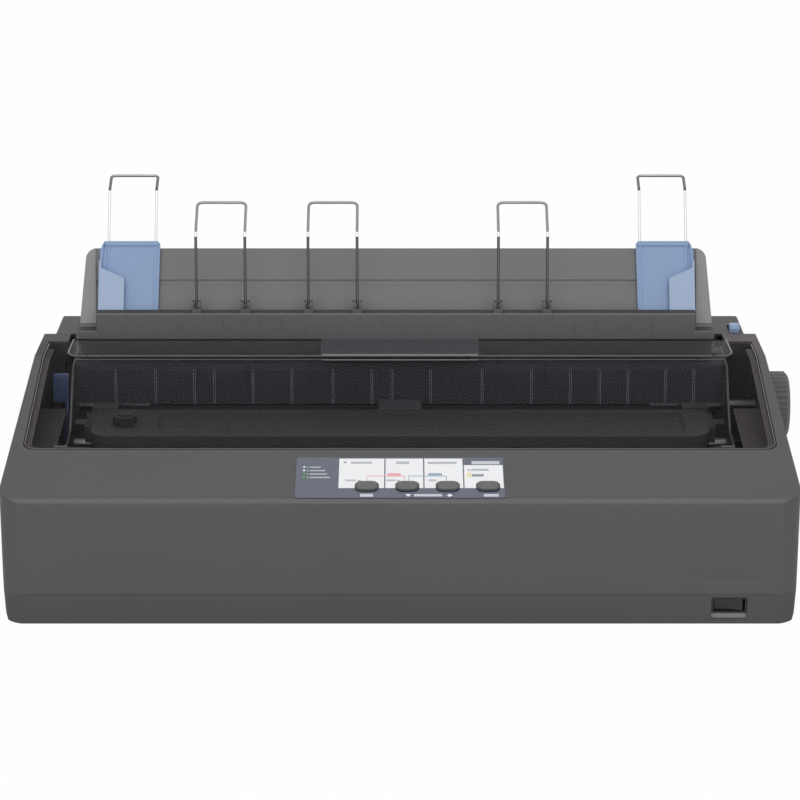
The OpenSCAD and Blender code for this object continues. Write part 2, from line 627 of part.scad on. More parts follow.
module gear(c, z, turn, x) {
    translate([0, c[0], c[1]]) along_x(x[0], x[1]) rotate(turn) polygon(gear_points(z));
}
module platen_gear() {
    color("ivory") placed() difference() {
        union() {
            gear(platen_c, platen_teeth, 0, gear_x);
            rod_x(platen_c, 9, gear_x[0], -280);
        }
        rod_x(platen_c, shaft_r + 0.05, -300, -270);
        for (a = [0:60:300]) rod_x(platen_c + 13 * dir(a + 30), 2.5, -300, -270);
    }
}
module reduction_gear() {
    color("white") placed() difference() {
        union() {
            gear(reduction_c, small_teeth, small_turn, [outer_x[1] - 1, -283]);
            gear(reduction_c, big_teeth, small_turn, outer_x);
        }
        rod_x(reduction_c, 2.55, -300, -270);
        for (a = [0:60:300]) rod_x(reduction_c + 15 * dir(a), 4, -300, outer_x[1] + 1);
    }
}
module idler_gear() {
    color("white") placed() difference() {
        union() {
            gear(idler_c, idler_teeth, idler_turn, gear_x);
            rod_x(idler_c, 6, gear_x[0], -279);
        }
        rod_x(idler_c, 2.55, -300, -270);
        for (a = [0:60:300]) rod_x(idler_c + 13 * dir(a), 3.5, -300, -270);
    }
}
module feed_pinion() {
    color("gold") placed() difference() {
        gear(pinion_c, pinion_teeth, pinion_turn, outer_x);
        rod_x(pinion_c, 2.05, -300, -280);
    }
}
module tractor_gear() {
    color("ivory") placed() difference() {
        union() {
            gear(tractor_c, tractor_teeth, tractor_turn, gear_x);
            rod_x(tractor_c, 7, gear_x[0], -284.2);
        }
        rod_x(tractor_c, 4.05, -300, -270);
    }
}

// ---------- platen ----------
module platen_shaft() {
    color(steel) placed() rod_x(platen_c, shaft_r, gear_x[0] - 1, knob_x[1] - 3);
}
module platen_roller() {
    color([0.1, 0.1, 0.1]) placed() difference() {
        rod_x(platen_c, platen_r, -platen_half, platen_half);
        rod_x(platen_c, shaft_r + 0.05, -platen_half - 1, platen_half + 1);
    }
}
knob_r = 29;
module platen_knob() {
    grips = 36;
    color([0.44, 0.44, 0.45]) placed() difference() {
        union() {
            translate([0, platen_c[0], platen_c[1]]) along_x(knob_x[0], knob_x[1] - 3) polygon(
                [for (i = [0:grips - 1], k = [[-0.3, 0], [-0.12, -1.1], [0.12, -1.1], [0.3, 0]])
                    (knob_r + k[1]) * dir((i + k[0]) * 360 / grips)]);
            translate([knob_x[1] - 3, platen_c[0], platen_c[1]]) rotate([0, 90, 0]) rotate_extrude()
                polygon([[0, 0], [knob_r - 1.2, 0], [knob_r - 2, 1.8], [knob_r - 4, 3], [20, 3],
                    [18, 1.6], [0, 1.6]]);
        }
        difference() {
            rod_x(platen_c, knob_r - 4, knob_x[0] - 1, knob_x[1] - 6);
            rod_x(platen_c, 8, knob_x[0] - 2, knob_x[1]);
            for (a = [0:60:300]) translate([0, platen_c[0], platen_c[1]]) rotate([a, 0, 0])
                box([knob_x[0], -0.8, 7], [knob_x[1], 0.8, knob_r - 3]);
        }
        rod_x(platen_c, shaft_r + 0.05, knob_x[0] - 1, knob_x[1] - 2.9);
    }
}

// ---------- frames ----------
module frame_plate(x0) {
    difference() {
        along_x(x0, x0 + frame_t) polygon([[-60, 7.5], [178, 7.5], [178, 108], [172, 113], [118, 113],
            [113, 128], [60, 128], [44, 112], [20, 88], [16, 84], [-60, 84]]);
        rod_x(platen_c, shaft_r + 0.08, x0 - 1, x0 + 9);
        rod_x(slide_c, shaft_r + 0.02, x0 - 1, x0 + 9);
        rod_x(tractor_c, 4.08, x0 - 1, x0 + 9);
        rod_x(rail_c, 4.02, x0 - 1, x0 + 9);
        rod_x(exit_c, 3.08, x0 - 1, x0 + 9);
        for (p = [[-38, 45], [-5, 50], [130, 40], [155, 60]]) rod_x(p, 9, x0 - 1, x0 + 9);
    }
}
// Tabs that carry the ribbon cartridge, inside the right frame
module frame_tabs() {
    box([frame_x - 30, -40, 82], [frame_x + 1, -20, 84]);
    box([frame_x - 16, 48, 78], [frame_x + 1, 60, 80]);
}
exit_c = [80, 112];
module side_frame_left() {
    color(steel) placed() {
        difference() {
            frame_plate(-frame_x - frame_t);
            rod_x(pinion_c, 3, -290, -270);
        }
        mirror([1, 0, 0]) frame_tabs();
        // studs of the reduction gear and the idler
        rod_x(reduction_c, 2.5, outer_x[0] - 1, -frame_x - 1);
        rod_x(idler_c, 2.5, gear_x[0] - 1, -frame_x - 1);
    }
}
module side_frame_right() {
    color(steel) placed() {
        frame_plate(frame_x);
        frame_tabs();
        // stud of the release lever
        rod_x(release_c, 2.5, frame_x + 1, 292);
    }
}
module base_frame() {
    color(steel) placed() {
        box([-frame_x + 0.1, -60, 5.5], [frame_x - 0.1, 178, 7.5]);
        // pads on the floor of the lower housing
        for (x = [-240, 0, 240], y = [-40, 150]) translate([x, y, base_z + wall])
            cylinder(r = 9, h = 6 - base_z - wall);
        // front rail of the carriage
        box([-frame_x + 0.1, -16, 7], [frame_x - 0.1, -14, 60]);
        box([-frame_x + 0.1, -16, 58], [frame_x - 0.1, -6, 60]);
        // trough under the platen
        translate([-platen_half, platen_c[0], platen_c[1]]) rotate([90, 0, 90]) rotate([0, 0, 215])
            trough();
        for (x = [-200:50:200]) box([x - 1, 84, 7], [x + 1, 100, 63.5]);
        // ramp from the trough up to the tractors
        along_x(-platen_half, platen_half) polygon([[108.6, 71.5], [110, 70], [134, 84], [133, 86]]);
        // post of the belt's idler pulley
        translate([belt_x, belt_y, 7]) cylinder(r = 3, h = 50);
    }
}
module trough() {
    linear_extrude(2 * platen_half) polygon(concat(arc([0, 0], 18.5, 0, 118, 20),
        arc([0, 0], 20.5, 118, 0, 20)));
}

// ---------- carriage ----------
belt_x = 250;
belt_y = 10;
pulley_r = 6;
belt_z = [49, 55];
belt_t = 1.4;
module carriage_shaft() { color("silver") placed() rod_x(slide_c, shaft_r, -284, 282); }
module carriage() {
    color([0.15, 0.15, 0.16]) placed() difference() {
        union() {
            along_x(-30, 30) polygon([[27, 60.3], [30, 57], [46, 57], [49, 60], [60, 66], [60, 72.5],
                [-20, 72.5], [-20, 69], [20, 69], [27, 64]]);
            box([-30, -20, 60.4], [-22, 28, 70]);
            box([22, -20, 60.4], [30, 28, 70]);
            box([-12, 11, 47], [12, 21.5, 70]);
        }
        rod_x(slide_c, shaft_r + 0.05, -31, 31);
        box([-13, belt_y + pulley_r - 0.1, 46], [13, belt_y + pulley_r + belt_t + 0.7, 57]);
    }
}
module print_head() {
    color([0.25, 0.25, 0.26]) placed() {
        box([-18, 28, 72.5], [18, 58, 84]);
        for (y = [29:4:53]) box([-18, y, 83], [18, y + 1.6, 100]);
        box([-6, 28, 83], [6, 56, 98]);
        along_x(-6, 6) polygon([[57, 74], [74.6, 79], [74.6, 86], [57, 92]]);
    }
}
module ribbon_cartridge() {
    color([0.08, 0.08, 0.09]) placed() {
        difference() {
            union() {
                translate([0, 0, 84]) linear_extrude(18) polygon(round_rect(-255, -45, 255, 22, 16, 6));
                both_sides() along_x(240, 262) polygon([[-10, 84], [20, 80], [80, 80], [84, 83], [80, 90],
                    [40, 92], [24, 98], [-10, 98]]);
            }
            box([-228, -20, 99], [-222, 5, 101]);
            translate([0, 0, 100]) linear_extrude(5) polygon(round_rect(-200, -38, 235, 14, 6, 4));
            both_sides() box([246, 60, 81.5], [256, 90, 90.5]);
        }
        // exposed ribbon in front of the platen
        box([-241, 75.1, 77], [241, 75.4, 87]);
        both_sides() box([239.9, 74, 83], [241, 75.4, 87]);
    }
}
ribbon_c = [-228, -12];
module ribbon_knob() {
    color([0.3, 0.3, 0.31]) placed() translate([ribbon_c[0], ribbon_c[1], 102.3]) {
        linear_extrude(7) polygon([for (i = [0:15], k = [-0.25, 0.25])
            (9 + (k > 0 ? 0 : 1)) * dir((i + k) * 22.5)]);
        translate([0, 0, 6.9]) cylinder(r = 6, h = 1.6);
    }
}
motor_r = 18;
module carriage_motor() {
    color([0.35, 0.35, 0.37]) placed() translate([-belt_x, belt_y, 7.5]) {
        cylinder(r = motor_r, h = 33);
        translate([0, 0, 33]) cylinder(r = 8, h = 2);
        cylinder(r = 2.5, h = belt_z[1] - 6);
    }
}
module pulley(r) {
    difference() {
        union() {
            translate([0, 0, belt_z[0]]) cylinder(r = pulley_r, h = belt_z[1] - belt_z[0]);
            translate([0, 0, belt_z[0] - 1.4]) cylinder(r = pulley_r + 2, h = 1.2);
            translate([0, 0, belt_z[0] - 0.3]) cylinder(r = pulley_r, h = 0.4);
        }
        translate([0, 0, belt_z[0] - 3]) cylinder(r = r + 0.05, h = 12);
    }
}
module motor_pulley() { color("gold") placed() translate([-belt_x, belt_y, 0]) pulley(2.5); }
module idler_pulley() { color("ivory") placed() translate([belt_x, belt_y, 0]) pulley(3); }
module belt_plan(r) {
    polygon(concat(arc([belt_x, belt_y], r, -90, 90, 14), arc([-belt_x, belt_y], r, 90, 270, 14)));
}
module timing_belt() {
    color([0.1, 0.1, 0.1]) placed() translate([0, 0, belt_z[0]]) linear_extrude(belt_z[1] - belt_z[0])
        difference() {
            belt_plan(pulley_r + 0.4 + belt_t);
            belt_plan(pulley_r + 0.4);
        }
}
feed_r = 20;
module feed_motor() {
    color([0.4, 0.4, 0.42]) placed() {
        rod_x(pinion_c, feed_r, -frame_x, -246);
        rod_x(pinion_c, 2.9, -frame_x - frame_t, -frame_x + 1);
        rod_x(pinion_c, 2, outer_x[0], -frame_x);
    }
}

// ---------- exit of the paper ----------
eject_ribs = [-242, -208, -175, -158, -125, -92, -57, -24, -7, 26, 70, 112, 145, 170, 194, 226, 250];
module eject_unit() {
    color([0.13, 0.13, 0.14]) placed() {
        difference() {
            along_x(-frame_x, frame_x) polygon([[64, 93], [66, 93], [70, 119], [73, 122.5], [88, 124.5],
                [88, 127], [71, 125.4], [67.6, 121]]);
            for (x = [-256:64:256]) box([x - 3, 80, 120], [x + 3, 90, 130]);
        }
        for (x = eject_ribs) translate([x, 0, 0]) along_x(-0.8, 0.8) polygon([[62.4, 93], [66, 92],
            [72, 121], [67.6, 122]]);
        both_sides() along_x(frame_x - 5, frame_x) polygon([[65, 96], [74, 100], [74, 105], [72, 124],
            [70, 122]]);
    }
}
module exit_rollers() {
    color([0.2, 0.2, 0.2]) placed() {
        rod_x(exit_c, 3, -frame_x - frame_t - 1, frame_x + frame_t + 1);
        for (x = [-192:64:192]) difference() {
            rod_x(exit_c, 6.6, x - 6, x + 6);
            rod_x(exit_c, 3, x - 7, x + 7);
        }
    }
}

// ---------- tractors ----------
tractor_x = 212;
tractor_r = 12;
module tractor(s) {
    color([0.16, 0.16, 0.17]) placed() translate([s * tractor_x, 0, 0]) {
        difference() {
            along_x(-8, 8) polygon(concat(arc(tractor_c, tractor_r, -90, 90, 10),
                arc(rail_c, tractor_r, 90, 270, 10)));
            rod_x(rail_c, 4.05, -9, 9);
            rod_x(tractor_c, 5.6, -9, 9);
        }
        // pins of the feed belt
        for (y = [rail_c[0] - 4:6.35:tractor_c[0] + 6]) translate([-s * 4, y, rail_c[1] + tractor_r - 1])
            cylinder(r = 1.6, h = 2.6);
        // knuckle of the lid
        translate([s * 8.5, 0, 0]) along_y(150, 162) polygon(round_rect(-2, 108, 2.4, 116, 1, 3));
    }
}
module tractor_left() { tractor(-1); }
module tractor_right() { tractor(1); }
lid_z = rail_c[1] + tractor_r + 3.6;
module tractor_lid(s) {
    color([0.3, 0.3, 0.31]) placed() translate([s * tractor_x, 0, 0]) difference() {
        union() {
            box([min(-s * 8, s * 5), 136, lid_z - 1], [max(-s * 8, s * 5), 176, lid_z + 1]);
            for (y = [[140, 149.6], [162.4, 172]]) {
                box([min(s * 4, s * 8.5), y[0], lid_z - 1], [max(s * 4, s * 8.5), y[1], lid_z + 1]);
                translate([s * 8.7, y[0], lid_z]) rotate([-90, 0, 0]) cylinder(r = 1.8, h = y[1] - y[0]);
            }
        }
        box([-s * 4 - 2.4, 140, lid_z - 5], [-s * 4 + 2.4, 173, lid_z + 5]);
    }
}
module tractor_lid_left() { tractor_lid(-1); }
module tractor_lid_right() { tractor_lid(1); }
module tractor_lock(s) {
    color(blue) placed() mirror([s > 0 ? 0 : 1, 0, 0]) translate([tractor_x, 0, 0]) difference() {
        union() {
            rod_x(rail_c, 7, 8.4, 14.6);
            along_x(11.4, 14.6) polygon([rail_c + [-4, 5], rail_c + [4, 5], rail_c + [-8, 16],
                rail_c + [-14, 14]]);
        }
        rod_x(rail_c, 4.05, 8, 15);
    }
}
module tractor_lock_left() { tractor_lock(-1); }
module tractor_lock_right() { tractor_lock(1); }
module tractor_shaft() {
    color(steel) placed() {
        rod_x(tractor_c, 4, gear_x[0], 281);
        along_x(-268, 268) translate(tractor_c) square(7.4, center = true);
    }
}
module tractor_rail() { color("silver") placed() rod_x(rail_c, 4, -279, 279); }

// ---------- levers ----------
module release_lever() {
    color(blue) placed() difference() {
        union() {
            along_x(288, 291.4) polygon(concat(arc(release_c, 5.5, 180, 360, 8),
                [[140.4, 128], [142, 132], [134, 132], [135.6, 128]]));
            along_x(286.4, 294.8) polygon([[133, 130], [143, 130], [144, 138], [141, 140.6], [135, 140.6],
                [132, 138]]);
        }
        rod_x(release_c, 2.55, 280, 300);
    }
}
module thickness_lever() {
    color(blue) placed() difference() {
        union() {
            rod_x(slide_c, 9, -283.6, -280.6);
            along_x(-283.6, -280.6) polygon([slide_c + [-6, 5], slide_c + [5, 3], [59, 96], [63, 118],
                [56, 118], [51, 96]]);
            along_x(-294, -280.6) polygon([[52, 98], [60, 98], [63, 118], [61, 121], [57, 121], [55, 118]]);
        }
        rod_x(slide_c, shaft_r + 0.05, -300, -270);
    }
}

// ---------- electronics ----------
board_z = 26;
module main_board() {
    color([0.1, 0.35, 0.2]) placed() {
        box([20, 106, board_z], [250, 182, board_z + 1.6]);
        for (x = [28, 242], y = [112, 176]) translate([x, y, 7.5]) cylinder(r = 3, h = board_z - 7.4);
        box([60, 120, board_z + 1.5], [90, 150, board_z + 4.5]);
        box([110, 118, board_z + 1.5], [124, 146, board_z + 4.5]);
        box([200, 120, board_z + 1.5], [236, 124, board_z + 20]);
        for (x = [150:14:178]) translate([x, 130, board_z + 1.5]) cylinder(r = 5, h = 16);
    }
}
module port_sockets() {
    color([0.6, 0.6, 0.62]) placed() for (p = port_spans) difference() {
        box([p[0], 176, board_z + 1.6], [p[1], rear - 0.4, p[3]]);
        box([p[0] + 2, 186, p[2] + 2], [p[1] - 2, rear + 1, p[3] - 2]);
        box([p[0] - 1, 182.5, 20], [p[1] + 1, rear + 1, p[2] - 0.1]);
    }
}
module ac_inlet() {
    color([0.09, 0.09, 0.09]) placed() difference() {
        union() {
            box([inlet_x[0], 172, inlet_z[0]], [inlet_x[1], rear - 0.3, inlet_z[1]]);
            box([inlet_x[0] - 4, rear - wall - 3.5, inlet_z[0] - 3],
                [inlet_x[1] + 4, rear - wall - 0.5, inlet_z[1] + 3]);
        }
        difference() {
            box([inlet_x[0] + 2, 182, inlet_z[0] + 2], [inlet_x[1] - 2, rear + 1, inlet_z[1] - 2]);
            for (i = [-1, 0, 1]) translate([(inlet_x[0] + inlet_x[1]) / 2 + i * 7 - 1, 180,
                (inlet_z[0] + inlet_z[1]) / 2 - 2 + (i == 0 ? 3 : -1)]) cube([2, 17, 4]);
        }
    }
}
module case_screws() {
    color("silver") placed() both_sides() for (y = post_y) translate([post_x, y, base_z + 4]) {
        cylinder(r = 3, h = 3);
        cylinder(r = 1.5, h = 30);
    }
}

lower_case();
rubber_feet();
upper_housing();
rear_cover();
printer_cover();
exit_flap();
ribbed_guide();
sheet_guide();
edge_guide_left();
edge_guide_right();
guide_wire_left();
guide_wire_right();
paper_wire_1();
paper_wire_2();
paper_wire_3();
panel_label();
panel_board();
button_1();
button_2();
button_3();
button_4();
switch_bezel();
power_rocker();
platen_knob();
platen_shaft();
platen_roller();
platen_gear();
reduction_gear();
idler_gear();
feed_motor();
feed_pinion();
tractor_gear();
tractor_shaft();
tractor_rail();
tractor_left();
tractor_right();
tractor_lid_left();
tractor_lid_right();
tractor_lock_left();
tractor_lock_right();
side_frame_left();
side_frame_right();
base_frame();
carriage_shaft();
carriage();
print_head();
ribbon_cartridge();
ribbon_knob();
carriage_motor();
motor_pulley();
idler_pulley();
timing_belt();
eject_unit();
exit_rollers();
release_lever();
thickness_lever();
main_board();
port_sockets();
ac_inlet();
case_screws();
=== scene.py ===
import json
import math

import bmesh
import bpy
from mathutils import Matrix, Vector


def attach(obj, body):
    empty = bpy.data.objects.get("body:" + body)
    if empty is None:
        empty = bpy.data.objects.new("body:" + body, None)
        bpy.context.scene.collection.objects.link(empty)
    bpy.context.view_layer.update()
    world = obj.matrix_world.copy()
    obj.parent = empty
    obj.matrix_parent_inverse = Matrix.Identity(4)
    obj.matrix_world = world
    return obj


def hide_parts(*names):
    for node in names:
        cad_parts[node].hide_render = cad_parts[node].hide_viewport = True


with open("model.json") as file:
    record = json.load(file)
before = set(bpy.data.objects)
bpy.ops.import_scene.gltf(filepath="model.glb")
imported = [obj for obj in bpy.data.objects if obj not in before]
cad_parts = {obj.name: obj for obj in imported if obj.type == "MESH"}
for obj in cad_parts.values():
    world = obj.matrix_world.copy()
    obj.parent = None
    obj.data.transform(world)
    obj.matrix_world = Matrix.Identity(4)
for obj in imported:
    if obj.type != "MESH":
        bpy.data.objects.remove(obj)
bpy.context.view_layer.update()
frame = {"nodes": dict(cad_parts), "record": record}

mm = 0.001
scene = bpy.context.scene
scene.view_settings.view_transform = "Standard"
record = frame["record"]
bodyOf = {node: body for body, nodes in record["behaviour"]["bodies"].items() for node in nodes}
rowShift = -10.5 * mm  # the housing's middle lies here, the knob takes up the rest
print("frame loaded", len(frame["nodes"]), "nodes")

# Camera: the view of the photograph, 19 degrees down from far in front
photoView = {
    "place": (-10.5, -2539.2, 992.3),
    "down": 19.0,
    "focalPixels": 3230.5,
    "imagePixels": 800,
    "sensor": 36.0,
    "farthest": 50,
}


def makeCamera():
    v = photoView
    data = bpy.data.cameras.new("photoCamera")
    data.sensor_width = v["sensor"]
    data.lens = v["focalPixels"] / v["imagePixels"] * v["sensor"]
    data.clip_end = v["farthest"]
    camera = bpy.data.objects.new("photoCamera", data)
    scene.collection.objects.link(camera)
    camera.location = Vector(v["place"]) * mm
    camera.rotation_euler = (math.radians(90 - v["down"]), 0, 0)
    scene.camera = camera


makeCamera()

# Light and floor, in metres and watts
studio = {
    "world": 0.47,
    "floor": (0.93, 0.93, 0.93),
    "floorSize": 12.0,
    "floorWhite": 0.97,
    "shadedHalf": (0.29, 0.185),  # the floor under the printer
    "aimHeight": 0.1,
    "lamps": [
        # name, place, size, watts
        ("topSoft", (0.0, -0.9, 2.5), 2.6, 11.5),
        ("frontLeft", (-0.9, -2.7, 1.2), 1.6, 13.9),
        ("frontRight", (0.9, -2.7, 1.2), 1.6, 13.9),
        ("backSoft", (0.0, 2.2, 1.9), 1.8, 10),
    ],
}


def addLamp(name, place, size, watts):
    data = bpy.data.lights.new(name, "AREA")
    data.shape = "DISK"
    data.size = size
    data.energy = watts
    lamp = bpy.data.objects.new(name, data)
    scene.collection.objects.link(lamp)
    lamp.location = place
    aim = Vector((0, 0, studio["aimHeight"])) - Vector(place)
    lamp.rotation_euler = aim.to_track_quat("-Z", "Y").to_euler()


for lamp in studio["lamps"]:
    addLamp(*lamp)


def mathNode(tree, operation, a, b=None):
    node = tree.nodes.new("ShaderNodeMath")
    node.operation = operation
    for i, value in enumerate((a, b)):
        if value is None:
            continue
        if isinstance(value, (int, float)):
            node.inputs[i].default_value = value
        else:
            tree.links.new(value, node.inputs[i])
    return node.outputs[0]


def seenDirectly(tree):
    path = tree.nodes.new("ShaderNodeLightPath")
    seen = mathNode(tree, "MAXIMUM", path.outputs["Is Camera Ray"], path.outputs["Is Glossy Ray"])
    return mathNode(tree, "MAXIMUM", seen, path.outputs["Is Transmission Ray"])


def makeWorld():
    world = bpy.data.worlds.new("softRoom")
    scene.world = world
    world.use_nodes = True
    tree = world.node_tree
    tree.nodes.clear()
    out = tree.nodes.new("ShaderNodeOutputWorld")
    mix = tree.nodes.new("ShaderNodeMixShader")
    tree.links.new(seenDirectly(tree), mix.inputs[0])
    for i, strength in ((1, studio["world"]), (2, 1.0)):
        light = tree.nodes.new("ShaderNodeBackground")
        light.inputs["Strength"].default_value = strength
        light.inputs["Color"].default_value = (1, 1, 1, 1)
        tree.links.new(light.outputs[0], mix.inputs[i])
    tree.links.new(mix.outputs[0], out.inputs["Surface"])


makeWorld()

# Node groups shared by the materials


def newGroup(name, inputs, outputs):
    group = bpy.data.node_groups.new(name, "ShaderNodeTree")
    for label, kind, value in inputs:
        socket = group.interface.new_socket(name=label, in_out="INPUT", socket_type=kind)
        socket.default_value = value
    for label, kind in outputs:
        group.interface.new_socket(name=label, in_out="OUTPUT", socket_type=kind)
    return group, group.nodes.new("NodeGroupInput"), group.nodes.new("NodeGroupOutput")


def makeGrainGroup():
    group, source, sink = newGroup(
        "mouldedGrain",
        [("Scale", "NodeSocketFloat", 900.0), ("Blotch", "NodeSocketFloat", 6.0)],
        [("Grain", "NodeSocketFloat"), ("Cloud", "NodeSocketFloat")],
    )
    coords = group.nodes.new("ShaderNodeTexCoord")
    fine = group.nodes.new("ShaderNodeTexNoise")
    fine.inputs["Detail"].default_value = 3.0
    fine.inputs["Roughness"].default_value = 0.6
    cloud = group.nodes.new("ShaderNodeTexNoise")
    cloud.inputs["Detail"].default_value = 4.0
    for node in (fine, cloud):
        group.links.new(coords.outputs["Object"], node.inputs["Vector"])
    group.links.new(source.outputs["Scale"], fine.inputs["Scale"])
    group.links.new(source.outputs["Blotch"], cloud.inputs["Scale"])
    group.links.new(fine.outputs["Fac"], sink.inputs["Grain"])
    group.links.new(cloud.outputs["Fac"], sink.inputs["Cloud"])
    return group


def makeShadeGroup():
    group, source, sink = newGroup(
        "shadedColour",
        [
            ("Colour", "NodeSocketColor", (0.1, 0.1, 0.1, 1)),
            ("Cloud", "NodeSocketFloat", 0.5),
            ("Drift", "NodeSocketFloat", 0.12),
            ("Edge", "NodeSocketFloat", 0.15),
            ("Reach", "NodeSocketFloat", 0.0006),
        ],
        [
            ("Colour", "NodeSocketColor"),
            ("EdgeWearAndHighlight", "NodeSocketFloat"),
            ("Rounded", "NodeSocketVector"),
        ],
    )
    geometry = group.nodes.new("ShaderNodeNewGeometry")
    rounded = group.nodes.new("ShaderNodeBevel")
    rounded.samples = 4
    group.links.new(source.outputs["Reach"], rounded.inputs["Radius"])
    facing = group.nodes.new("ShaderNodeVectorMath")
    facing.operation = "DOT_PRODUCT"
    group.links.new(rounded.outputs["Normal"], facing.inputs[0])
    group.links.new(geometry.outputs["Normal"], facing.inputs[1])
    # Edges lighten by the Edge factor: a little wear at small factors, and at the larger factors a
    # painted highlight along edges and ribs
    edgeWornAndLit = group.nodes.new("ShaderNodeMapRange")
    edgeWornAndLit.inputs["From Min"].default_value = 0.97
    edgeWornAndLit.inputs["From Max"].default_value = 0.8
    group.links.new(facing.outputs["Value"], edgeWornAndLit.inputs["Value"])
    edgeWearAndHighlight = mathNode(group, "MULTIPLY", edgeWornAndLit.outputs["Result"], source.outputs["Edge"])
    swing = mathNode(group, "SUBTRACT", source.outputs["Cloud"], 0.5)
    swing = mathNode(group, "MULTIPLY", swing, source.outputs["Drift"])
    gain = mathNode(group, "ADD", swing, 1.0)
    gain = mathNode(group, "ADD", gain, edgeWearAndHighlight)
    scaled = group.nodes.new("ShaderNodeVectorMath")
    scaled.operation = "SCALE"
    group.links.new(source.outputs["Colour"], scaled.inputs[0])
    group.links.new(gain, scaled.inputs["Scale"])
    group.links.new(scaled.outputs["Vector"], sink.inputs["Colour"])
    group.links.new(edgeWearAndHighlight, sink.inputs["EdgeWearAndHighlight"])
    group.links.new(rounded.outputs["Normal"], sink.inputs["Rounded"])
    return group


grainGroup = makeGrainGroup()
shadeGroup = makeShadeGroup()


def toLinear(c):
    return ((c / 255 + 0.055) / 1.055) ** 2.4 if c > 10 else c / 255 / 12.92


def srgb(r, g, b):
    return (toLinear(r), toLinear(g), toLinear(b), 1.0)


def groupNode(tree, group, **values):
    node = tree.nodes.new("ShaderNodeGroup")
    node.node_tree = group
    for name, value in values.items():
        node.inputs[name].default_value = value
    return node


def makeMaterial(name, colour, roughness=0.5, spread=0.1, metallic=0.0, grain=900.0, bump=0.0002,
                 drift=0.12, edge=0.12, specular=0.5, blotch=6.0, alpha=1.0, reach=0.0006):
    material = bpy.data.materials.new(name)
    material.use_nodes = True
    tree = material.node_tree
    shader = tree.nodes["Principled BSDF"]
    shader.inputs["Metallic"].default_value = metallic
    shader.inputs["Specular IOR Level"].default_value = specular
    shader.inputs["Alpha"].default_value = alpha
    texture = groupNode(tree, grainGroup, Scale=grain, Blotch=blotch)
    shade = groupNode(tree, shadeGroup, Colour=colour, Drift=drift, Edge=edge, Reach=reach)
    tree.links.new(texture.outputs["Cloud"], shade.inputs["Cloud"])
    tree.links.new(shade.outputs["Colour"], shader.inputs["Base Color"])
    rough = tree.nodes.new("ShaderNodeMapRange")
    rough.inputs["To Min"].default_value = max(0.02, roughness - spread)
    rough.inputs["To Max"].default_value = min(1.0, roughness + spread)
    tree.links.new(texture.outputs["Grain"], rough.inputs["Value"])
    tree.links.new(rough.outputs["Result"], shader.inputs["Roughness"])
    if bump:
        relief = tree.nodes.new("ShaderNodeBump")
        relief.inputs["Strength"].default_value = 0.5
        relief.inputs["Distance"].default_value = bump
        tree.links.new(texture.outputs["Grain"], relief.inputs["Height"])
        tree.links.new(shade.outputs["Rounded"], relief.inputs["Normal"])
        tree.links.new(relief.outputs["Normal"], shader.inputs["Normal"])
    return material


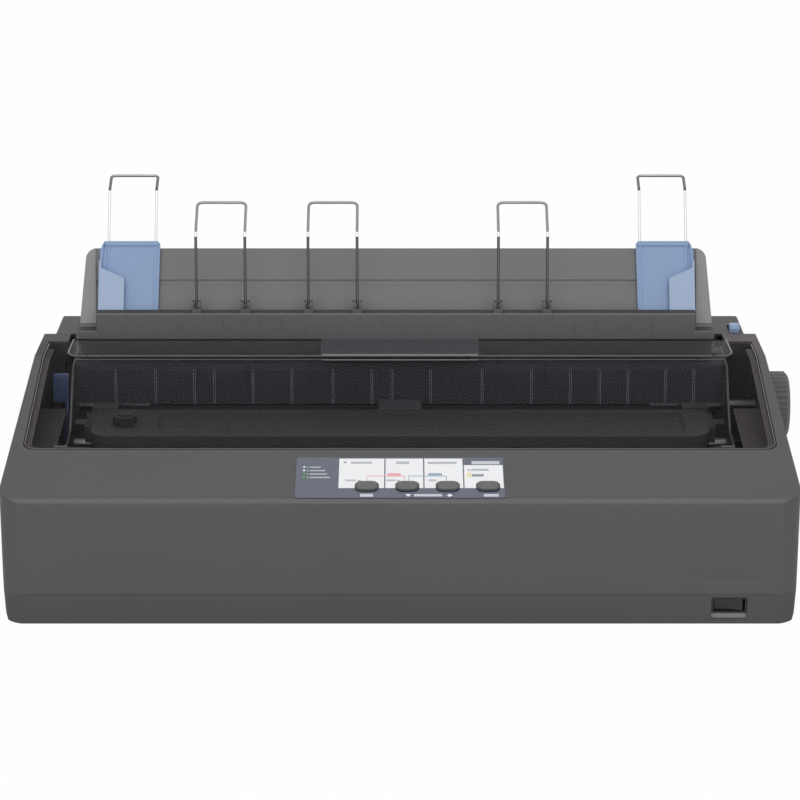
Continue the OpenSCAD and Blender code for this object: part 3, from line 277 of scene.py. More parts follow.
finishes = {
    # housing mouldings
    # the housing's Edge factor paints a highlight along its edges, above all along the crease of
    # slope and front
    "housingGrey": dict(colour=srgb(89, 89, 90), roughness=0.55, bump=0.00012, specular=0.1,
                        edge=0.8, reach=0.0011),
    # a lighter copy of the housing grey for the thin strips along the crease of slope and front:
    # painted highlight
    "housingCreaseHighlight": dict(colour=srgb(97, 97, 98), bump=0.0001, specular=0.3, edge=0),
    # a darker copy of the housing grey for the upward faces at the rear: painted shade
    "housingRearShade": dict(colour=srgb(71, 71, 72), roughness=0.6, bump=0.00012, specular=0.3),
    # darker copies of the housing grey for faces inside the window, under the smoked cover: painted
    # shade, less deep and warmer on the right
    "housingWindowShade": dict(colour=srgb(60, 59, 61), roughness=0.6, spread=0.03, bump=0,
                         specular=0.2),
    "housingWindowShadeWarm": dict(colour=srgb(86, 79, 81), roughness=0.6, spread=0.03, bump=0,
                        specular=0.2),
    "housingLower": dict(colour=srgb(84, 84, 85), roughness=0.6, bump=0.00012, specular=0.1),
    "rearGrey": dict(colour=srgb(60, 60, 62), roughness=0.6, bump=0.00012, specular=0.3,
                     edge=0.3, reach=0.0009),
    "knobGrey": dict(colour=srgb(102, 102, 103), roughness=0.55, bump=0.0001, specular=0.3),
    # paper guides
    # the ribbed guide's high Edge factor paints highlight lines along its ribs and edges
    "ribbedGrey": dict(colour=srgb(98, 98, 99), bump=0.00006, specular=0.3, edge=1.2,
                       reach=0.0008),
    # a lighter grey for the tube along the ribbed guide's top front edge: painted highlight
    "ribEdgeHighlight": dict(colour=srgb(124, 124, 125), roughness=0.4, bump=0, specular=0.4, edge=0),
    "guideGrey": dict(colour=srgb(116, 116, 116), roughness=0.45, bump=0.00006, specular=0.4),
    # a lighter copy of the guide grey for the end bands of the sheet guide: painted highlight
    "guideBandHighlight": dict(colour=srgb(142, 142, 141), roughness=0.4, bump=0.00006, specular=0.4),
    "guideBlue": dict(colour=srgb(142, 166, 202), roughness=0.4, bump=0.00004, specular=0.4,
                      drift=0.1, edge=0.3),
    # a lighter copy of the guide blue for the front lip of the edge guides, which faces the light:
    # painted highlight
    "guideLip": dict(colour=srgb(162, 182, 210), roughness=0.35, bump=0.00004, drift=0.1,
                     edge=0.3),
    # lighter chrome: painted reflection on the stretches of wire that catch the light
    "wirePaintedGlint": dict(colour=(0.72, 0.72, 0.73, 1), roughness=0.16, spread=0.05, metallic=1.0,
                       bump=0, drift=0.1, edge=0),
    "wireSoft": dict(colour=(0.28, 0.28, 0.29, 1), roughness=0.22, spread=0.06, metallic=1.0,
                     bump=0, drift=0.1, edge=0),
    # darker chrome: painted shade on the wires' lower legs and bends
    "wirePaintedShade": dict(colour=(0.1, 0.1, 0.105, 1), roughness=0.3, spread=0.06, metallic=1.0,
                     bump=0, drift=0.1, edge=0),
    # panel and switch
    "labelFilm": dict(colour=srgb(57, 66, 89), roughness=0.4, bump=0.00002, specular=0.4,
                      drift=0.05, edge=0),
    "buttonGrey": dict(colour=srgb(53, 54, 54), roughness=0.4, bump=0.00003, specular=0.4),
    "switchBlack": dict(colour=srgb(30, 30, 31), roughness=0.4, bump=0.00003, specular=0.4),
    # a light grey for the lip below the power switch: painted highlight
    "switchLipHighlight": dict(colour=srgb(134, 134, 134), roughness=0.4, bump=0, specular=0.4, edge=0),
    # inside
    "blackPlastic": dict(colour=srgb(36, 36, 38), roughness=0.45, bump=0.00003, specular=0.4),
    "cartridgeBlack": dict(colour=srgb(57, 54, 58), roughness=0.6, spread=0.03, bump=0,
                           specular=0.2),
    # a lighter copy of the cartridge black for its front faces: painted light on that side
    "cartridgeFrontLit": dict(colour=srgb(76, 72, 77), roughness=0.6, spread=0.03, bump=0,
                           specular=0.2, edge=0),
    # the very high Edge factor paints the thin ribs as bright highlight lines
    "ejectBlack": dict(colour=srgb(56, 53, 60), spread=0.03, bump=0, specular=0.2, edge=15.0),
    "leverBlue": dict(colour=srgb(64, 78, 120), roughness=0.4, bump=0.00003, specular=0.4,
                      drift=0.06),
    "gearGrey": dict(colour=srgb(96, 94, 90), roughness=0.45, bump=0.00004, specular=0.4),
    "sheetSteel": dict(colour=(0.5, 0.51, 0.53, 1), roughness=0.35, spread=0.12, metallic=1.0,
                       bump=0.00003, grain=400.0),
    "shaftSteel": dict(colour=(0.22, 0.22, 0.23, 1), roughness=0.4, metallic=1.0, bump=0),
    "frameSteel": dict(colour=(0.1, 0.1, 0.104, 1), metallic=1.0, bump=0.00002, grain=400.0),
    "bareBrass": dict(colour=(0.72, 0.55, 0.26, 1), roughness=0.3, metallic=1.0, bump=0.00002),
    "motorGrey": dict(colour=srgb(82, 83, 88), roughness=0.4, metallic=0.6, bump=0.00003),
    "groundRubber": dict(colour=srgb(34, 34, 35), roughness=0.8, bump=0.00005, specular=0.25),
    "platenRubber": dict(colour=srgb(48, 47, 49), roughness=0.6, bump=0.00004, specular=0.3),
    "boardGreen": dict(colour=srgb(28, 84, 52), roughness=0.4, bump=0.00003),
    # near black for dark lines in the cover gap and behind the flap: painted shade
    "shadowBlack": dict(colour=srgb(12, 12, 13), roughness=0.8, bump=0, drift=0.05, edge=0,
                     specular=0.1),
}
materials = {name: makeMaterial(name, **values) for name, values in finishes.items()}

smokedFinishes = {
    # colour, alpha, roughness, specular; a sheet is seen through its upper and its inner face
    "smokedCover": (srgb(24, 22, 26), 0.2, 0.1, 0.02),
    "smokedFlap": (srgb(58, 56, 61), 0.34, 0.15, 0.05),
    "smokedInner": (srgb(22, 20, 24), 0.05, 0.1, 0.01),
    "smokedGrip": (srgb(112, 109, 118), 0.34, 0.25, 0.1),
}
for name, (colour, alpha, roughness, specular) in smokedFinishes.items():
    materials[name] = makeMaterial(name, colour, roughness=roughness, spread=0.0, grain=60.0,
                                   bump=0, drift=0.08, edge=0.5, specular=specular, alpha=alpha)

# lighter tones for the tubes along the edges of the cover, flap and grip: painted highlights
edgeShades = {"coverEdgeHighlight": 92, "flapEdgeHighlight": 86, "gripEdgeHighlight": 116, "tabGrey": 112}
for name, shade in edgeShades.items():
    materials[name] = makeMaterial(name, srgb(shade, shade, shade + 2), roughness=0.25,
                                   spread=0.05, bump=0, drift=0.3, edge=0, specular=0.4,
                                   blotch=25.0)
print("materials made", len(materials))


def makeFloorMaterial():
    material = makeMaterial("paleFloor", studio["floor"] + (1,), roughness=0.9, specular=0.1,
                            bump=0, drift=0.01, edge=0)
    tree = material.node_tree
    # what shows through the slots in the printer's bottom is the shaded floor, not white
    place = tree.nodes.new("ShaderNodeTexCoord")
    parts = tree.nodes.new("ShaderNodeSeparateXYZ")
    tree.links.new(place.outputs["Object"], parts.inputs[0])
    aside = [mathNode(tree, "GREATER_THAN", mathNode(tree, "ABSOLUTE", parts.outputs[axis]), half)
             for axis, half in enumerate(studio["shadedHalf"])]
    seen = mathNode(tree, "MULTIPLY", seenDirectly(tree), mathNode(tree, "MAXIMUM", *aside))
    mix = tree.nodes.new("ShaderNodeMixShader")
    tree.links.new(mathNode(tree, "MULTIPLY", seen, studio["floorWhite"]), mix.inputs[0])
    tree.links.new(tree.nodes["Principled BSDF"].outputs[0], mix.inputs[1])
    tree.links.new(tree.nodes.new("ShaderNodeEmission").outputs[0], mix.inputs[2])
    tree.links.new(mix.outputs[0], tree.nodes["Material Output"].inputs["Surface"])
    return material


def addPiece(name, mesh):
    piece = bpy.data.objects.new(name, mesh)
    scene.collection.objects.link(piece)
    return piece


def addFloor():
    half = studio["floorSize"] / 2
    corners = [(-half, -half, 0), (half, -half, 0), (half, half, 0), (-half, half, 0)]
    mesh = bpy.data.meshes.new("floor")
    mesh.from_pydata(corners, [], [(0, 1, 2, 3)])
    mesh.materials.append(makeFloorMaterial())
    addPiece("floor", mesh)


addFloor()

# Moulded pieces: each CAD node with its edges rounded
edgeRounding = {
    "weld": 0.00001,
    "flattenAngle": 0.8,
    "segments": 2,
    "sharpAngle": 32.0,
}
mouldings = {
    # finish, edge radius in mm, True where small edges lie too close for big faces
    "upper_housing": ("housingGrey", 0.9),
    "lower_case": ("housingLower", 0.7),
    "rear_cover": ("rearGrey", 0.8),
    "printer_cover": ("smokedCover", 0.35),
    "exit_flap": ("smokedFlap", 0.3),
    "ribbed_guide": ("ribbedGrey", 0.25, True),
    "sheet_guide": ("guideGrey", 0.5),
    "edge_guide_left": ("guideBlue", 0.4),
    "edge_guide_right": ("guideBlue", 0.4),
    "platen_knob": ("knobGrey", 0.3),
    "button_1": ("buttonGrey", 0.5),
    "button_2": ("buttonGrey", 0.5),
    "button_3": ("buttonGrey", 0.5),
    "button_4": ("buttonGrey", 0.5),
    "switch_bezel": ("switchBlack", 0.3),
    "power_rocker": ("switchBlack", 0.4),
    "release_lever": ("guideBlue", 0.4),
    "thickness_lever": ("leverBlue", 0.4),
    "panel_label": ("labelFilm", 0.1),
    "ribbon_cartridge": ("cartridgeBlack", 0.6),
    "ribbon_knob": ("cartridgeBlack", 0.2),
    "print_head": ("motorGrey", 0.2),
    "carriage": ("blackPlastic", 0.4),
    "eject_unit": ("ejectBlack", 0.15, True),
    "tractor_left": ("blackPlastic", 0.3),
    "tractor_right": ("blackPlastic", 0.3),
    "tractor_lid_left": ("buttonGrey", 0.3),
    "tractor_lid_right": ("buttonGrey", 0.3),
    "tractor_lock_left": ("guideBlue", 0.3),
    "tractor_lock_right": ("guideBlue", 0.3),
    "ac_inlet": ("blackPlastic", 0.3),
    "port_sockets": ("sheetSteel", 0.2),
}
plainNodes = {
    "rubber_feet": "groundRubber",
    "panel_board": "boardGreen",
    "platen_shaft": "shaftSteel",
    "platen_roller": "platenRubber",
    "platen_gear": "gearGrey",
    "reduction_gear": "gearGrey",
    "idler_gear": "gearGrey",
    "feed_motor": "motorGrey",
    "feed_pinion": "bareBrass",
    "tractor_gear": "gearGrey",
    "tractor_shaft": "sheetSteel",
    "tractor_rail": "sheetSteel",
    "side_frame_left": "frameSteel",
    "side_frame_right": "frameSteel",
    "base_frame": "frameSteel",
    "carriage_shaft": "shaftSteel",
    "carriage_motor": "motorGrey",
    "motor_pulley": "bareBrass",
    "idler_pulley": "gearGrey",
    "timing_belt": "groundRubber",
    "exit_rollers": "groundRubber",
    "main_board": "boardGreen",
    "case_screws": "sheetSteel",
}


def roundEdges(piece, radius, splitFirst=False):
    r = edgeRounding
    mesh = piece.data
    if "custom_normal" in mesh.attributes:
        mesh.attributes.remove(mesh.attributes["custom_normal"])
    work = bmesh.new()
    work.from_mesh(mesh)
    bmesh.ops.remove_doubles(work, verts=work.verts, dist=r["weld"])
    bmesh.ops.dissolve_limit(work, angle_limit=math.radians(r["flattenAngle"]),
                             verts=work.verts, edges=work.edges)
    if splitFirst:
        many = [face for face in work.faces if len(face.verts) > 4]
        bmesh.ops.triangulate(work, faces=many)
    work.to_mesh(mesh)
    work.free()
    for polygon in mesh.polygons:
        polygon.use_smooth = True
    bevel = piece.modifiers.new("edges", "BEVEL")
    bevel.width = radius * mm
    bevel.segments = r["segments"]
    bevel.limit_method = "ANGLE"
    bevel.angle_limit = math.radians(r["sharpAngle"])
    bevel.use_clamp_overlap = not splitFirst
    piece.modifiers.new("normals", "WEIGHTED_NORMAL").keep_sharp = True
    bpy.context.view_layer.update()
    graph = bpy.context.evaluated_depsgraph_get()
    rounded = bpy.data.meshes.new_from_object(piece.evaluated_get(graph))
    piece.modifiers.clear()
    piece.data = rounded


def setMaterial(piece, finish):
    piece.data.materials.clear()
    piece.data.materials.append(materials[finish])
    for polygon in piece.data.polygons:
        polygon.material_index = 0


def standFor(piece, node):
    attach(piece, bodyOf[node])
    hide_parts(node)


moulded = {}
for node, (finish, radius, *splitFirst) in mouldings.items():
    piece = addPiece(node + "_moulded", frame["nodes"][node].data.copy())
    roundEdges(piece, radius, *splitFirst)
    setMaterial(piece, finish)
    standFor(piece, node)
    moulded[node] = piece
for node, finish in plainNodes.items():
    obj = frame["nodes"][node]
    for i in range(max(1, len(obj.material_slots))):
        if not obj.material_slots:
            obj.data.materials.append(materials[finish])
        obj.material_slots[i].material = materials[finish]
print("moulded pieces", len(moulded), "plain nodes", len(plainNodes))

# The plane of the sheet guide, which the edge guides and the tall wires follow
sheetLean = math.radians(30)
sheetPlane = {
    "foot": Vector((0, 121.0, 146.0)),
    "up": Vector((0, math.sin(sheetLean), math.cos(sheetLean))),
    "out": Vector((0, math.cos(sheetLean), -math.sin(sheetLean))),
}

# Faces of one moulding that catch the light in another way, in mm from the housing's middle
zones = {
    "windowHalf": 303,
    "window": (-118, 100),
    "windowTop": 139,
    "windowFall": 0.149,
    "windowRidge": 47.5,
    "creaseBack": -190,
    "creaseTilt": (0.5, 0.985),
    "creaseHalf": 312,
    "rearStart": 100,
    "lipX": (232, 276),
    "lipY": (-199.3, -198),
    "lipZ": (5.6, 11.4),
    "bandMiddle": -3.5,
    "bandHalf": 258.6,
    "bandFoot": 140,
    "guideLip": 8.6,  # how far the front lip stands out of the sheet, measured square to it
}


def paintFaces(piece, finish, test):
    piece.data.materials.append(materials[finish])
    index = len(piece.data.materials) - 1
    middle = Vector((rowShift / mm, 0, 0))
    for polygon in piece.data.polygons:
        if test(polygon.center / mm - middle, polygon.normal):
            polygon.material_index = index


def insideWindow(place):
    front, back = zones["window"]
    roof = zones["windowTop"] - zones["windowFall"] * max(0, zones["windowRidge"] - place.y)
    return abs(place.x) < zones["windowHalf"] and front < place.y < back and place.z < roof


def onCrease(place, normal):
    low, high = zones["creaseTilt"]
    inRow = place.y < zones["creaseBack"] and abs(place.x) < zones["creaseHalf"]
    return inRow and low < normal.z < high


def onSwitchLip(place):
    ranges = (zones["lipX"], zones["lipY"], zones["lipZ"])
    return all(low < value < high for value, (low, high) in zip(place, ranges))


def onSheetBand(place):
    return abs(place.x - zones["bandMiddle"]) > zones["bandHalf"] and place.z > zones["bandFoot"]


def onGuideLip(place):
    return (place - sheetPlane["foot"]).dot(sheetPlane["out"]) < -zones["guideLip"]


for node in ("printer_cover", "exit_flap"):
    paintFaces(moulded[node], "smokedInner", lambda place, normal: normal.z < 0.3)
housing = moulded["upper_housing"]
# faces inside the window, under the smoked cover: painted shade, less deep and warmer on the right
paintFaces(housing, "housingWindowShade", lambda place, normal: insideWindow(place) and place.x < 0)
paintFaces(housing, "housingWindowShadeWarm", lambda place, normal: insideWindow(place) and place.x >= 0)
# the thin strips along the crease of slope and front: painted highlight
paintFaces(housing, "housingCreaseHighlight", onCrease)
# upward faces of the housing at the rear: painted shade
paintFaces(housing, "housingRearShade",
           lambda place, normal: place.y > zones["rearStart"] and normal.z > 0.5)
# lip below the power switch: painted highlight
paintFaces(moulded["lower_case"], "switchLipHighlight", lambda place, normal: onSwitchLip(place))
# end bands of the sheet guide: painted highlight
paintFaces(moulded["sheet_guide"], "guideBandHighlight", lambda place, normal: onSheetBand(place))
paintFaces(moulded["ribbed_guide"], "rearGrey", lambda place, normal: normal.z > 0.8)
# front faces of the ribbon cartridge: painted light on that side
paintFaces(moulded["ribbon_cartridge"], "cartridgeFrontLit", lambda place, normal: normal.y < -0.5)
# front lips of the edge guides: painted highlight
for node in ("edge_guide_left", "edge_guide_right"):
    paintFaces(moulded[node], "guideLip", lambda place, normal: onGuideLip(place))
print("faces painted")

# Chromed wires, drawn as tubes along their bends
wireShape = {"radius": 1.25, "bendSteps": 8, "roundness": 5}


def roundedPath(points, radii):
    steps = wireShape["bendSteps"]
    path = [Vector(points[0])]
    for i, radius in enumerate(radii):
        before, corner, after = (Vector(points[i + k]) for k in (0, 1, 2))
        u, v = (before - corner).normalized(), (after - corner).normalized()
        halfAngle = u.angle(v) / 2
        centre = corner + (u + v).normalized() * radius / math.sin(halfAngle)
        start = corner + u * radius / math.tan(halfAngle) - centre
        end = corner + v * radius / math.tan(halfAngle) - centre
        for k in range(steps + 1):
            path.append(centre + start.slerp(end, k / steps).normalized() * radius)
    path.append(Vector(points[-1]))
    return path


def tubeAlong(name, path, radius):
    curve = bpy.data.curves.new(name, "CURVE")
    curve.dimensions = "3D"
    curve.bevel_depth = radius * mm
    curve.bevel_resolution = wireShape["roundness"]
    curve.use_fill_caps = True
    spline = curve.splines.new("POLY")
    spline.points.add(len(path) - 1)
    for point, place in zip(spline.points, path):
        point.co = (place[0] * mm + rowShift, place[1] * mm, place[2] * mm, 1)
    tube = addPiece(name, curve)
    graph = bpy.context.evaluated_depsgraph_get()
    mesh = bpy.data.meshes.new_from_object(tube.evaluated_get(graph))
    bpy.data.objects.remove(tube)
    mesh.shade_smooth()
    return addPiece(name, mesh)


def bentWire(name, points, radii, node):
    piece = tubeAlong(name, roundedPath(points, radii), wireShape["radius"])
    setMaterial(piece, "wireSoft")
    standFor(piece, node)
    return piece


shortWires = {
    "foot": (109.0, 167.0),
    "legLean": 8.0,
    "leg": 61.0,
    "topRise": 30.0,
    "top": 38.0,
    "middles": (-153.7, -57.7, 105.2),
    "half": 21.0,
    "toe": 3.8,
    "bends": (1.3, 4.0, 5.0),  # at the toe, at the knee, at the top bar
    "glint": (-2, 3),  # the knee catches the light from here to here, above its height
}


def shortWire(i, middle):
    s = shortWires
    foot = Vector((0, *s["foot"]))
    lean, rise = math.radians(s["legLean"]), math.radians(s["topRise"])
    knee = foot + s["leg"] * Vector((0, math.sin(lean), math.cos(lean)))
    tip = knee + s["top"] * Vector((0, math.cos(rise), math.sin(rise)))
    left, right = Vector((middle - s["half"], 0, 0)), Vector((middle + s["half"], 0, 0))
    toe = Vector((s["toe"], 0, 0))
    points = [foot + left - toe, foot + left, knee + left, tip + left,
              tip + right, knee + right, foot + right, foot + right + toe]
    piece = bentWire(f"short_wire_{i}", points, s["bends"] + s["bends"][::-1], f"paper_wire_{i}")
    low, high = (knee.z + step for step in s["glint"])
    # the lower legs get darker chrome as painted shade, the knee lighter chrome as a painted glint
    paintFaces(piece, "wirePaintedShade", lambda place, normal: place.z < low)
    paintFaces(piece, "wirePaintedGlint", lambda place, normal: low <= place.z < high)


for i, middle in enumerate(shortWires["middles"]):
    shortWire(i + 1, middle)

tallWires = {
    "start": 45.0,
    "bend": 119.0,
    "depth": -2.9,
    "tipY": 199.75,
    "tipRise": 6.4,
    "legs": {"left": (-252.4, -211.7), "right": (207.9, 247.9)},
    "bends": (3.0, 3.4),  # at the knee, at the top bar
    "kneeShade": 1,  # mm below the knee where the bright legs end
    "barDepth": 3,
}


def tallWire(sideName, legs):
    s = tallWires
    foot, knee = (sheetPlane["foot"] + s[step] * sheetPlane["up"] + s["depth"] * sheetPlane["out"]
                  for step in ("start", "bend"))
    tip = Vector((0, s["tipY"], knee.z + s["tipRise"]))
    left, right = Vector((legs[0], 0, 0)), Vector((legs[1], 0, 0))
    points = [foot + left, knee + left, tip + left, tip + right, knee + right, foot + right]
    piece = bentWire(f"tall_wire_{sideName}", points, s["bends"] + s["bends"][::-1],
                     f"guide_wire_{sideName}")
    legTop, barStart = knee.z - s["kneeShade"], s["tipY"] - s["barDepth"]
    # the legs get lighter chrome as a painted reflection, the knee bends and upper legs darker
    # chrome as painted shade
    paintFaces(piece, "wirePaintedGlint", lambda place, normal: place.z < legTop)
    paintFaces(piece, "wirePaintedShade", lambda place, normal: place.z >= legTop and place.y < barStart)


for sideName, legs in tallWires["legs"].items():
    tallWire(sideName, legs)
print("wires drawn")

# The two slopes of the top, as y and z of the ridge and of each slope's far end
topSlopes = {"ridge": (47.5, 141.0), "frontEnd": (-201.0, 104.0), "rearEnd": (127.0, 135.0)}


def fallTo(end):
    (ridgeY, ridgeZ), (endY, endZ) = topSlopes["ridge"], topSlopes[end]
    return math.atan((ridgeZ - endZ) / abs(ridgeY - endY))


def coverHeight(y):
    ridgeY, ridgeZ = topSlopes["ridge"]
    end = "frontEnd" if y < ridgeY else "rearEnd"
    return ridgeZ - abs(ridgeY - y) * math.tan(fallTo(end))


# Moulded edges of the smoked covers, drawn in lighter tones as painted highlights, and a dark line
# in the gap round them as painted shade
coverLines = {
    "edge": dict(half=300.2, front=-115.9, back=90.0, above=-0.1, radius=0.42),
    "joint": dict(half=301.0, front=-116.75, back=96.0, above=-0.3, radius=0.42),
    "corner": 10.0,
    "flap": dict(half=279.4, front=42.2, back=95.0, corner=7.0, above=2.3, radius=0.9),
    "straight": [
        # name, body, finish, x from, x to, y, height above the top, radius
        # lines along the flap's front edge and the grip: painted highlights
        ("cover_step_highlight", "cover", "flapEdgeHighlight", -272.4, 272.4, 40.3, 0.1, 0.5),
        ("grip_highlight", "flap", "gripEdgeHighlight", -65.5, 65.5, 42.6, 2.6, 1.2),
        ("grip_step_highlight", "cover", "gripEdgeHighlight", -65.5, 65.5, 39.4, 0.15, 0.5),
        # dark lines behind the flap: painted shadow of the ribbed guide
        ("flap_rear_shadow_left", "flap", "shadowBlack", -278.0, -67.5, 95.2, 2.3, 0.6),
        ("flap_rear_shadow_right", "flap", "shadowBlack", 67.5, 278.0, 95.2, 2.3, 0.6),
        ("cover_tab_left", "cover", "tabGrey", -276.5, -266.1, -110.5, -1.0, 0.85),
        ("cover_tab_right", "cover", "tabGrey", 256.5, 266.9, -110.5, -1.0, 0.85),
    ],
    "guideTopHighlight": dict(x=(-260.0, 253.0), y=104.9, z=159.75, radius=0.6),
}


def finishPiece(piece, finish, body):
    setMaterial(piece, finish)
    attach(piece, body)


def lineOn(name, body, finish, flat, above, radius):
    path = [Vector((v[0], v[1], coverHeight(v[1]) + above)) for v in flat]
    finishPiece(tubeAlong(name, path, radius), finish, body)


def openLoop(half, front, back):
    sides = [back, topSlopes["ridge"][0], front]
    left = [Vector((-half, y, 0)) for y in sides]
    right = [Vector((half, y, 0)) for y in reversed(sides)]
    corners = roundedPath([left[-2], left[-1], right[0], right[1]], [coverLines["corner"]] * 2)
    return left[:-2] + corners + right[2:]


def drawCoverLines():
    edge, joint, flap = (coverLines[name] for name in ("edge", "joint", "flap"))
    # a lighter tube along the cover's edge: painted highlight
    lineOn("cover_edge_highlight", "cover", "coverEdgeHighlight", openLoop(edge["half"], edge["front"], edge["back"]),
           edge["above"], edge["radius"])
    # a dark tube in the gap round the cover: painted shade
    lineOn("window_gap_shadow", "housing", "shadowBlack",
           openLoop(joint["half"], joint["front"], joint["back"]),
           joint["above"], joint["radius"])
    half, front, back = flap["half"], flap["front"], flap["back"]
    flapFlat = roundedPath([(-half, back, 0), (-half, front, 0), (half, front, 0), (half, back, 0)],
                           [flap["corner"]] * 2)
    # a lighter tube along the flap's front edge: painted highlight
    lineOn("flap_edge_highlight", "flap", "flapEdgeHighlight", flapFlat, flap["above"], flap["radius"])
    for name, body, finish, x0, x1, y, above, radius in coverLines["straight"]:
        lineOn(name, body, finish, [(x0, y, 0), (x1, y, 0)], above, radius)
    # a lighter tube along the ribbed guide's top front edge: painted highlight
    top = coverLines["guideTopHighlight"]
    ends = [(x, top["y"], top["z"]) for x in top["x"]]
    finishPiece(tubeAlong("guide_top_highlight", ends, top["radius"]), "ribEdgeHighlight", "housing")


drawCoverLines()

# The clearer middle of the exit flap, where it is lifted
flapGrip = {"half": 67.0, "span": (45.0, 96.5), "thick": 0.35, "above": 2.25}


def meshFrom(work, name):
    bmesh.ops.recalc_face_normals(work, faces=work.faces)
    mesh = bpy.data.meshes.new(name)
    work.to_mesh(mesh)
    work.free()
    return mesh


def drawGrip():
    g = flapGrip
    y0, y1 = g["span"]
    ridgeY = topSlopes["ridge"][0]
    work = bmesh.new()
    rows = []
    for y in (y0, ridgeY, (ridgeY + y1) / 2, y1):
        for lift in (0.0, g["thick"]):
            z = coverHeight(y) + g["above"] + lift
            rows.append([work.verts.new((x * mm + rowShift, y * mm, z * mm))
                         for x in (-g["half"], g["half"])])
    low, high = rows[0::2], rows[1::2]
    for level in (low, high):
        for a, b in zip(level, level[1:]):
            work.faces.new((a[0], a[1], b[1], b[0]))
    for k in range(len(low) - 1):
        for side in (0, 1):
            work.faces.new((low[k][side], low[k + 1][side], high[k + 1][side], high[k][side]))
    for k in (0, -1):
        work.faces.new((low[k][0], low[k][1], high[k][1], high[k][0]))
    finishPiece(addPiece("flap_grip", meshFrom(work, "flap_grip")), "smokedGrip", "flap")


drawGrip()
print("cover lines drawn")

# Printing on the control panel: plain boxes, lines and marks
panel = {
    "film": 0.5,
    "printLift": 0.04,
    "printSink": 0.02,
    "boxes": [(-48.0, -12.4), (-11.4, 18.2), (19.2, 49.4)],
    "boxY": (-180.5, -133.0),
    "lastBox": (50.4, 81.0),
    "lastBoxY": (-180.5, -143.6),
    "buttons": (-25.9, 5.7, 37.3, 68.8),
    "buttonY": -178.0,
    "buttonSize": (17.7, 15.4),
    "buttonGap": 0.55,
    "buttonCorner": 5.5,
    "bracketWidth": 0.6,
    "lampX": -75.5,
    "lampY": (-147.0, -152.5, -158.0, -163.5),
    "lampRadius": 1.25,
    "lampLift": 0.25,
    "lampInks": ("lampClear", "lampClear", "lampGreen", "lampGreen"),
}
inkColours = {
    "inkWhite": (252, 253, 255),
    "inkPale": (206, 209, 217),
    "inkGrey": (188, 191, 199),
    "inkDark": (142, 147, 160),
    "inkRed": (240, 172, 178),
    "inkBlue": (142, 172, 192),
    "inkYellow": (246, 236, 176),
}
lampColours = {"lampClear": (222, 232, 226), "lampGreen": (112, 168, 112)}
for name, colour in inkColours.items():
    materials[name] = makeMaterial(name, srgb(*colour), roughness=0.45, bump=0, drift=0.03,
                                   edge=0, specular=0.3)
for name, colour in lampColours.items():
    materials[name] = makeMaterial(name, srgb(*colour), roughness=0.25, bump=0, drift=0.03,
                                   edge=0)


def onPanel(x, y, lift):
    slope = fallTo("frontEnd")
    frontY, frontZ = topSlopes["frontEnd"]
    z = frontZ + (y - frontY) * math.tan(slope)
    return Vector((x * mm + rowShift, (y - lift * math.sin(slope)) * mm,
                   (z + lift * math.cos(slope)) * mm))


def printShapes(name, ink, outlines, layer=1):
    p = panel
    base = p["film"] + p["printLift"] * layer
    work = bmesh.new()
    for outline in outlines:
        top = [work.verts.new(onPanel(x, y, base)) for x, y in outline]
        low = [work.verts.new(onPanel(x, y, base - p["printLift"] - p["printSink"]))
               for x, y in outline]
        work.faces.new(top)
        work.faces.new(list(reversed(low)))
        n = len(outline)
        for k in range(n):
            work.faces.new((top[k], low[k], low[(k + 1) % n], top[(k + 1) % n]))
    finishPiece(addPiece(name, meshFrom(work, name)), ink, "housing")


def rect(x0, y0, x1, y1):
    return [(x0, y0), (x1, y0), (x1, y1), (x0, y1)]


def notched(x0, x1, y0, y1, buttonX):
    reach = panel["buttonSize"][0] / 2 + panel["buttonGap"]
    top = panel["buttonY"] + panel["buttonSize"][1] / 2 + panel["buttonGap"]
    r = panel["buttonCorner"]
    bow = [(r * math.sin(math.pi * k / 12), r * math.cos(math.pi * k / 12)) for k in range(7)]
    left = [(buttonX - reach + r - dx, top - r + dy) for dx, dy in reversed(bow)]
    right = [(buttonX + reach - r + dx, top - r + dy) for dx, dy in bow]
    notch = [(buttonX - reach, y0)] + left + right + [(buttonX + reach, y0)]
    return [(x0, y0)] + notch + [(x1, y0), (x1, y1), (x0, y1)]


def linePath(points, width):
    shapes = []
    for (x0, y0), (x1, y1) in zip(points, points[1:]):
        if abs(x1 - x0) > abs(y1 - y0):
            shapes.append(rect(min(x0, x1), y0 - width, max(x0, x1), y0 + width))
        else:
            shapes.append(rect(x0 - width / 2, min(y0, y1), x0 + width / 2, max(y0, y1)))
    return shapes


# Marks as x from, x to, y front, y back
panelMarks = {
    "inkGrey": [
        (-39.0, -22.0, -141.4, -138.0), (-3.2, 7.3, -141.8, -137.8), (21.8, 44.8, -141.8, -138.2),
        (-43.0, -34.5, -169.6, -167.0), (-10.8, -3.4, -169.6, -167.0), (22.5, 28.4, -169.8, -166.6),
        (55.8, 69.8, -153.0, -149.6),
    ],
    "inkDark": [
        (56.3, 65.7, -162.2, -158.2), (-44.4, -42.4, -140.4, -137.8), (53.2, 55.0, -152.6, -150.4),
    ],
    "inkBlue": [(22.1, 33.1, -160.4, -156.8)],
    "inkRed": [(-9.8, 0.6, -160.6, -156.8)],
    "inkYellow": [(52.8, 55.6, -163.2, -155.8)],
}
filmMarks = [
    (56.5, 78.6, -142.2, -137.0), (-31.0, -20.8, -194.2, -189.6), (10.8, 32.8, -193.6, -190.0),
    (65.1, 76.7, -194.0, -189.8),
]
brackets = {
    "inkRed": [(-26.0, -171.0), (-26.0, -161.4), (3.8, -161.4), (3.8, -171.0)],
    "inkBlue": [(6.8, -171.0), (6.8, -161.4), (36.4, -161.4), (36.4, -171.0)],
}
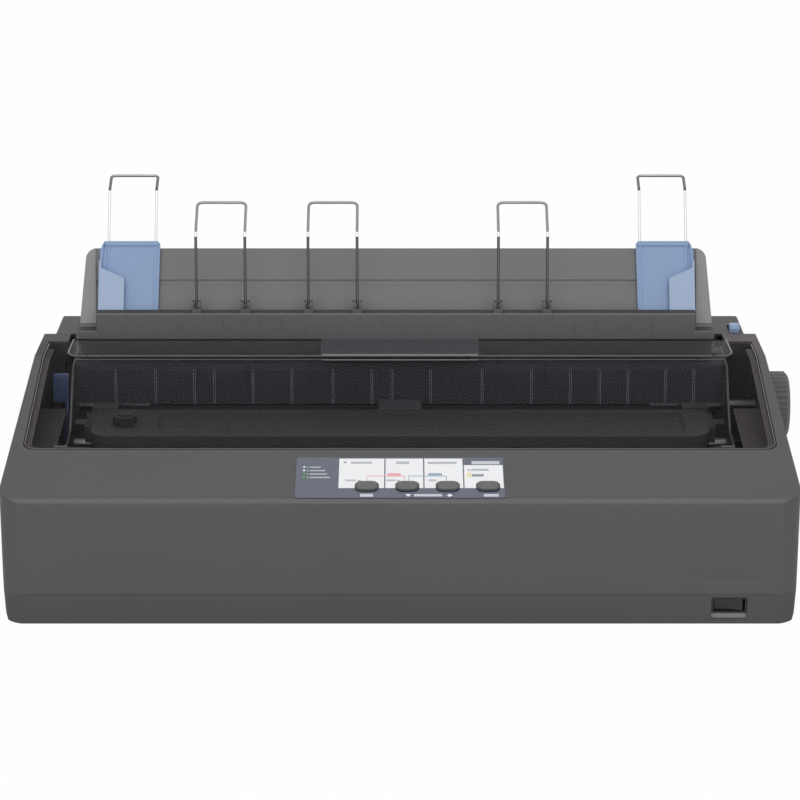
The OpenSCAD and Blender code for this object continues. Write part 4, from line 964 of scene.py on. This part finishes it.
smallArrows = [[(x - 1.6, -168.0), (x, -169.8), (x + 1.6, -168.0)] for x in (-32.0, -1.2)]
filmArrows = [
    [(4.0, -190.2), (6.4, -194.2), (8.9, -190.2)],
    [(36.2, -192.0), (38.6, -194.4), (41.0, -192.0), (38.6, -189.6)],
]
lampRows = {"dot": (-73.4, -71.9), "bar": -70.9, "lengths": (8.4, 12.0, 13.6, 15.8), "half": 0.9}


def spread(marks):
    return [rect(x0, y0, x1, y1) for x0, x1, y0, y1 in marks]


def printPanel():
    p = panel
    boxes = [(*box, *p["boxY"]) for box in p["boxes"]] + [(*p["lastBox"], *p["lastBoxY"])]
    printShapes("panel_boxes", "inkWhite",
                [notched(*box, buttonX) for box, buttonX in zip(boxes, p["buttons"])])
    for ink, marks in panelMarks.items():
        printShapes("panel_bars_" + ink[3:].lower(), ink, spread(marks), 2)
    for ink, corners in brackets.items():
        printShapes("panel_bracket_" + ink[3:].lower(), ink,
                    linePath(corners, p["bracketWidth"]), 2)
    printShapes("panel_small_arrows", "inkDark", smallArrows, 2)
    printShapes("panel_film_arrows", "inkWhite", filmArrows)
    printShapes("panel_film_marks", "inkPale", spread(filmMarks))
    r = lampRows
    bars = [(r["bar"], r["bar"] + length, y - r["half"], y + r["half"])
            for y, length in zip(p["lampY"], r["lengths"])]
    dots = [(*r["dot"], y - r["half"], y + r["half"]) for y in p["lampY"]]
    printShapes("panel_rows", "inkGrey", spread(bars))
    printShapes("panel_dots", "lampGreen", spread(dots))


def setLamps():
    p = panel
    for k, (y, ink) in enumerate(zip(p["lampY"], p["lampInks"])):
        work = bmesh.new()
        bmesh.ops.create_uvsphere(work, u_segments=20, v_segments=10, radius=p["lampRadius"] * mm)
        bmesh.ops.translate(work, verts=work.verts, vec=onPanel(p["lampX"], y, p["lampLift"]))
        name = f"panel_lamp_{k + 1}"
        mesh = meshFrom(work, name)
        mesh.shade_smooth()
        finishPiece(addPiece(name, mesh), ink, "housing")


printPanel()
setLamps()
print("panel printed")
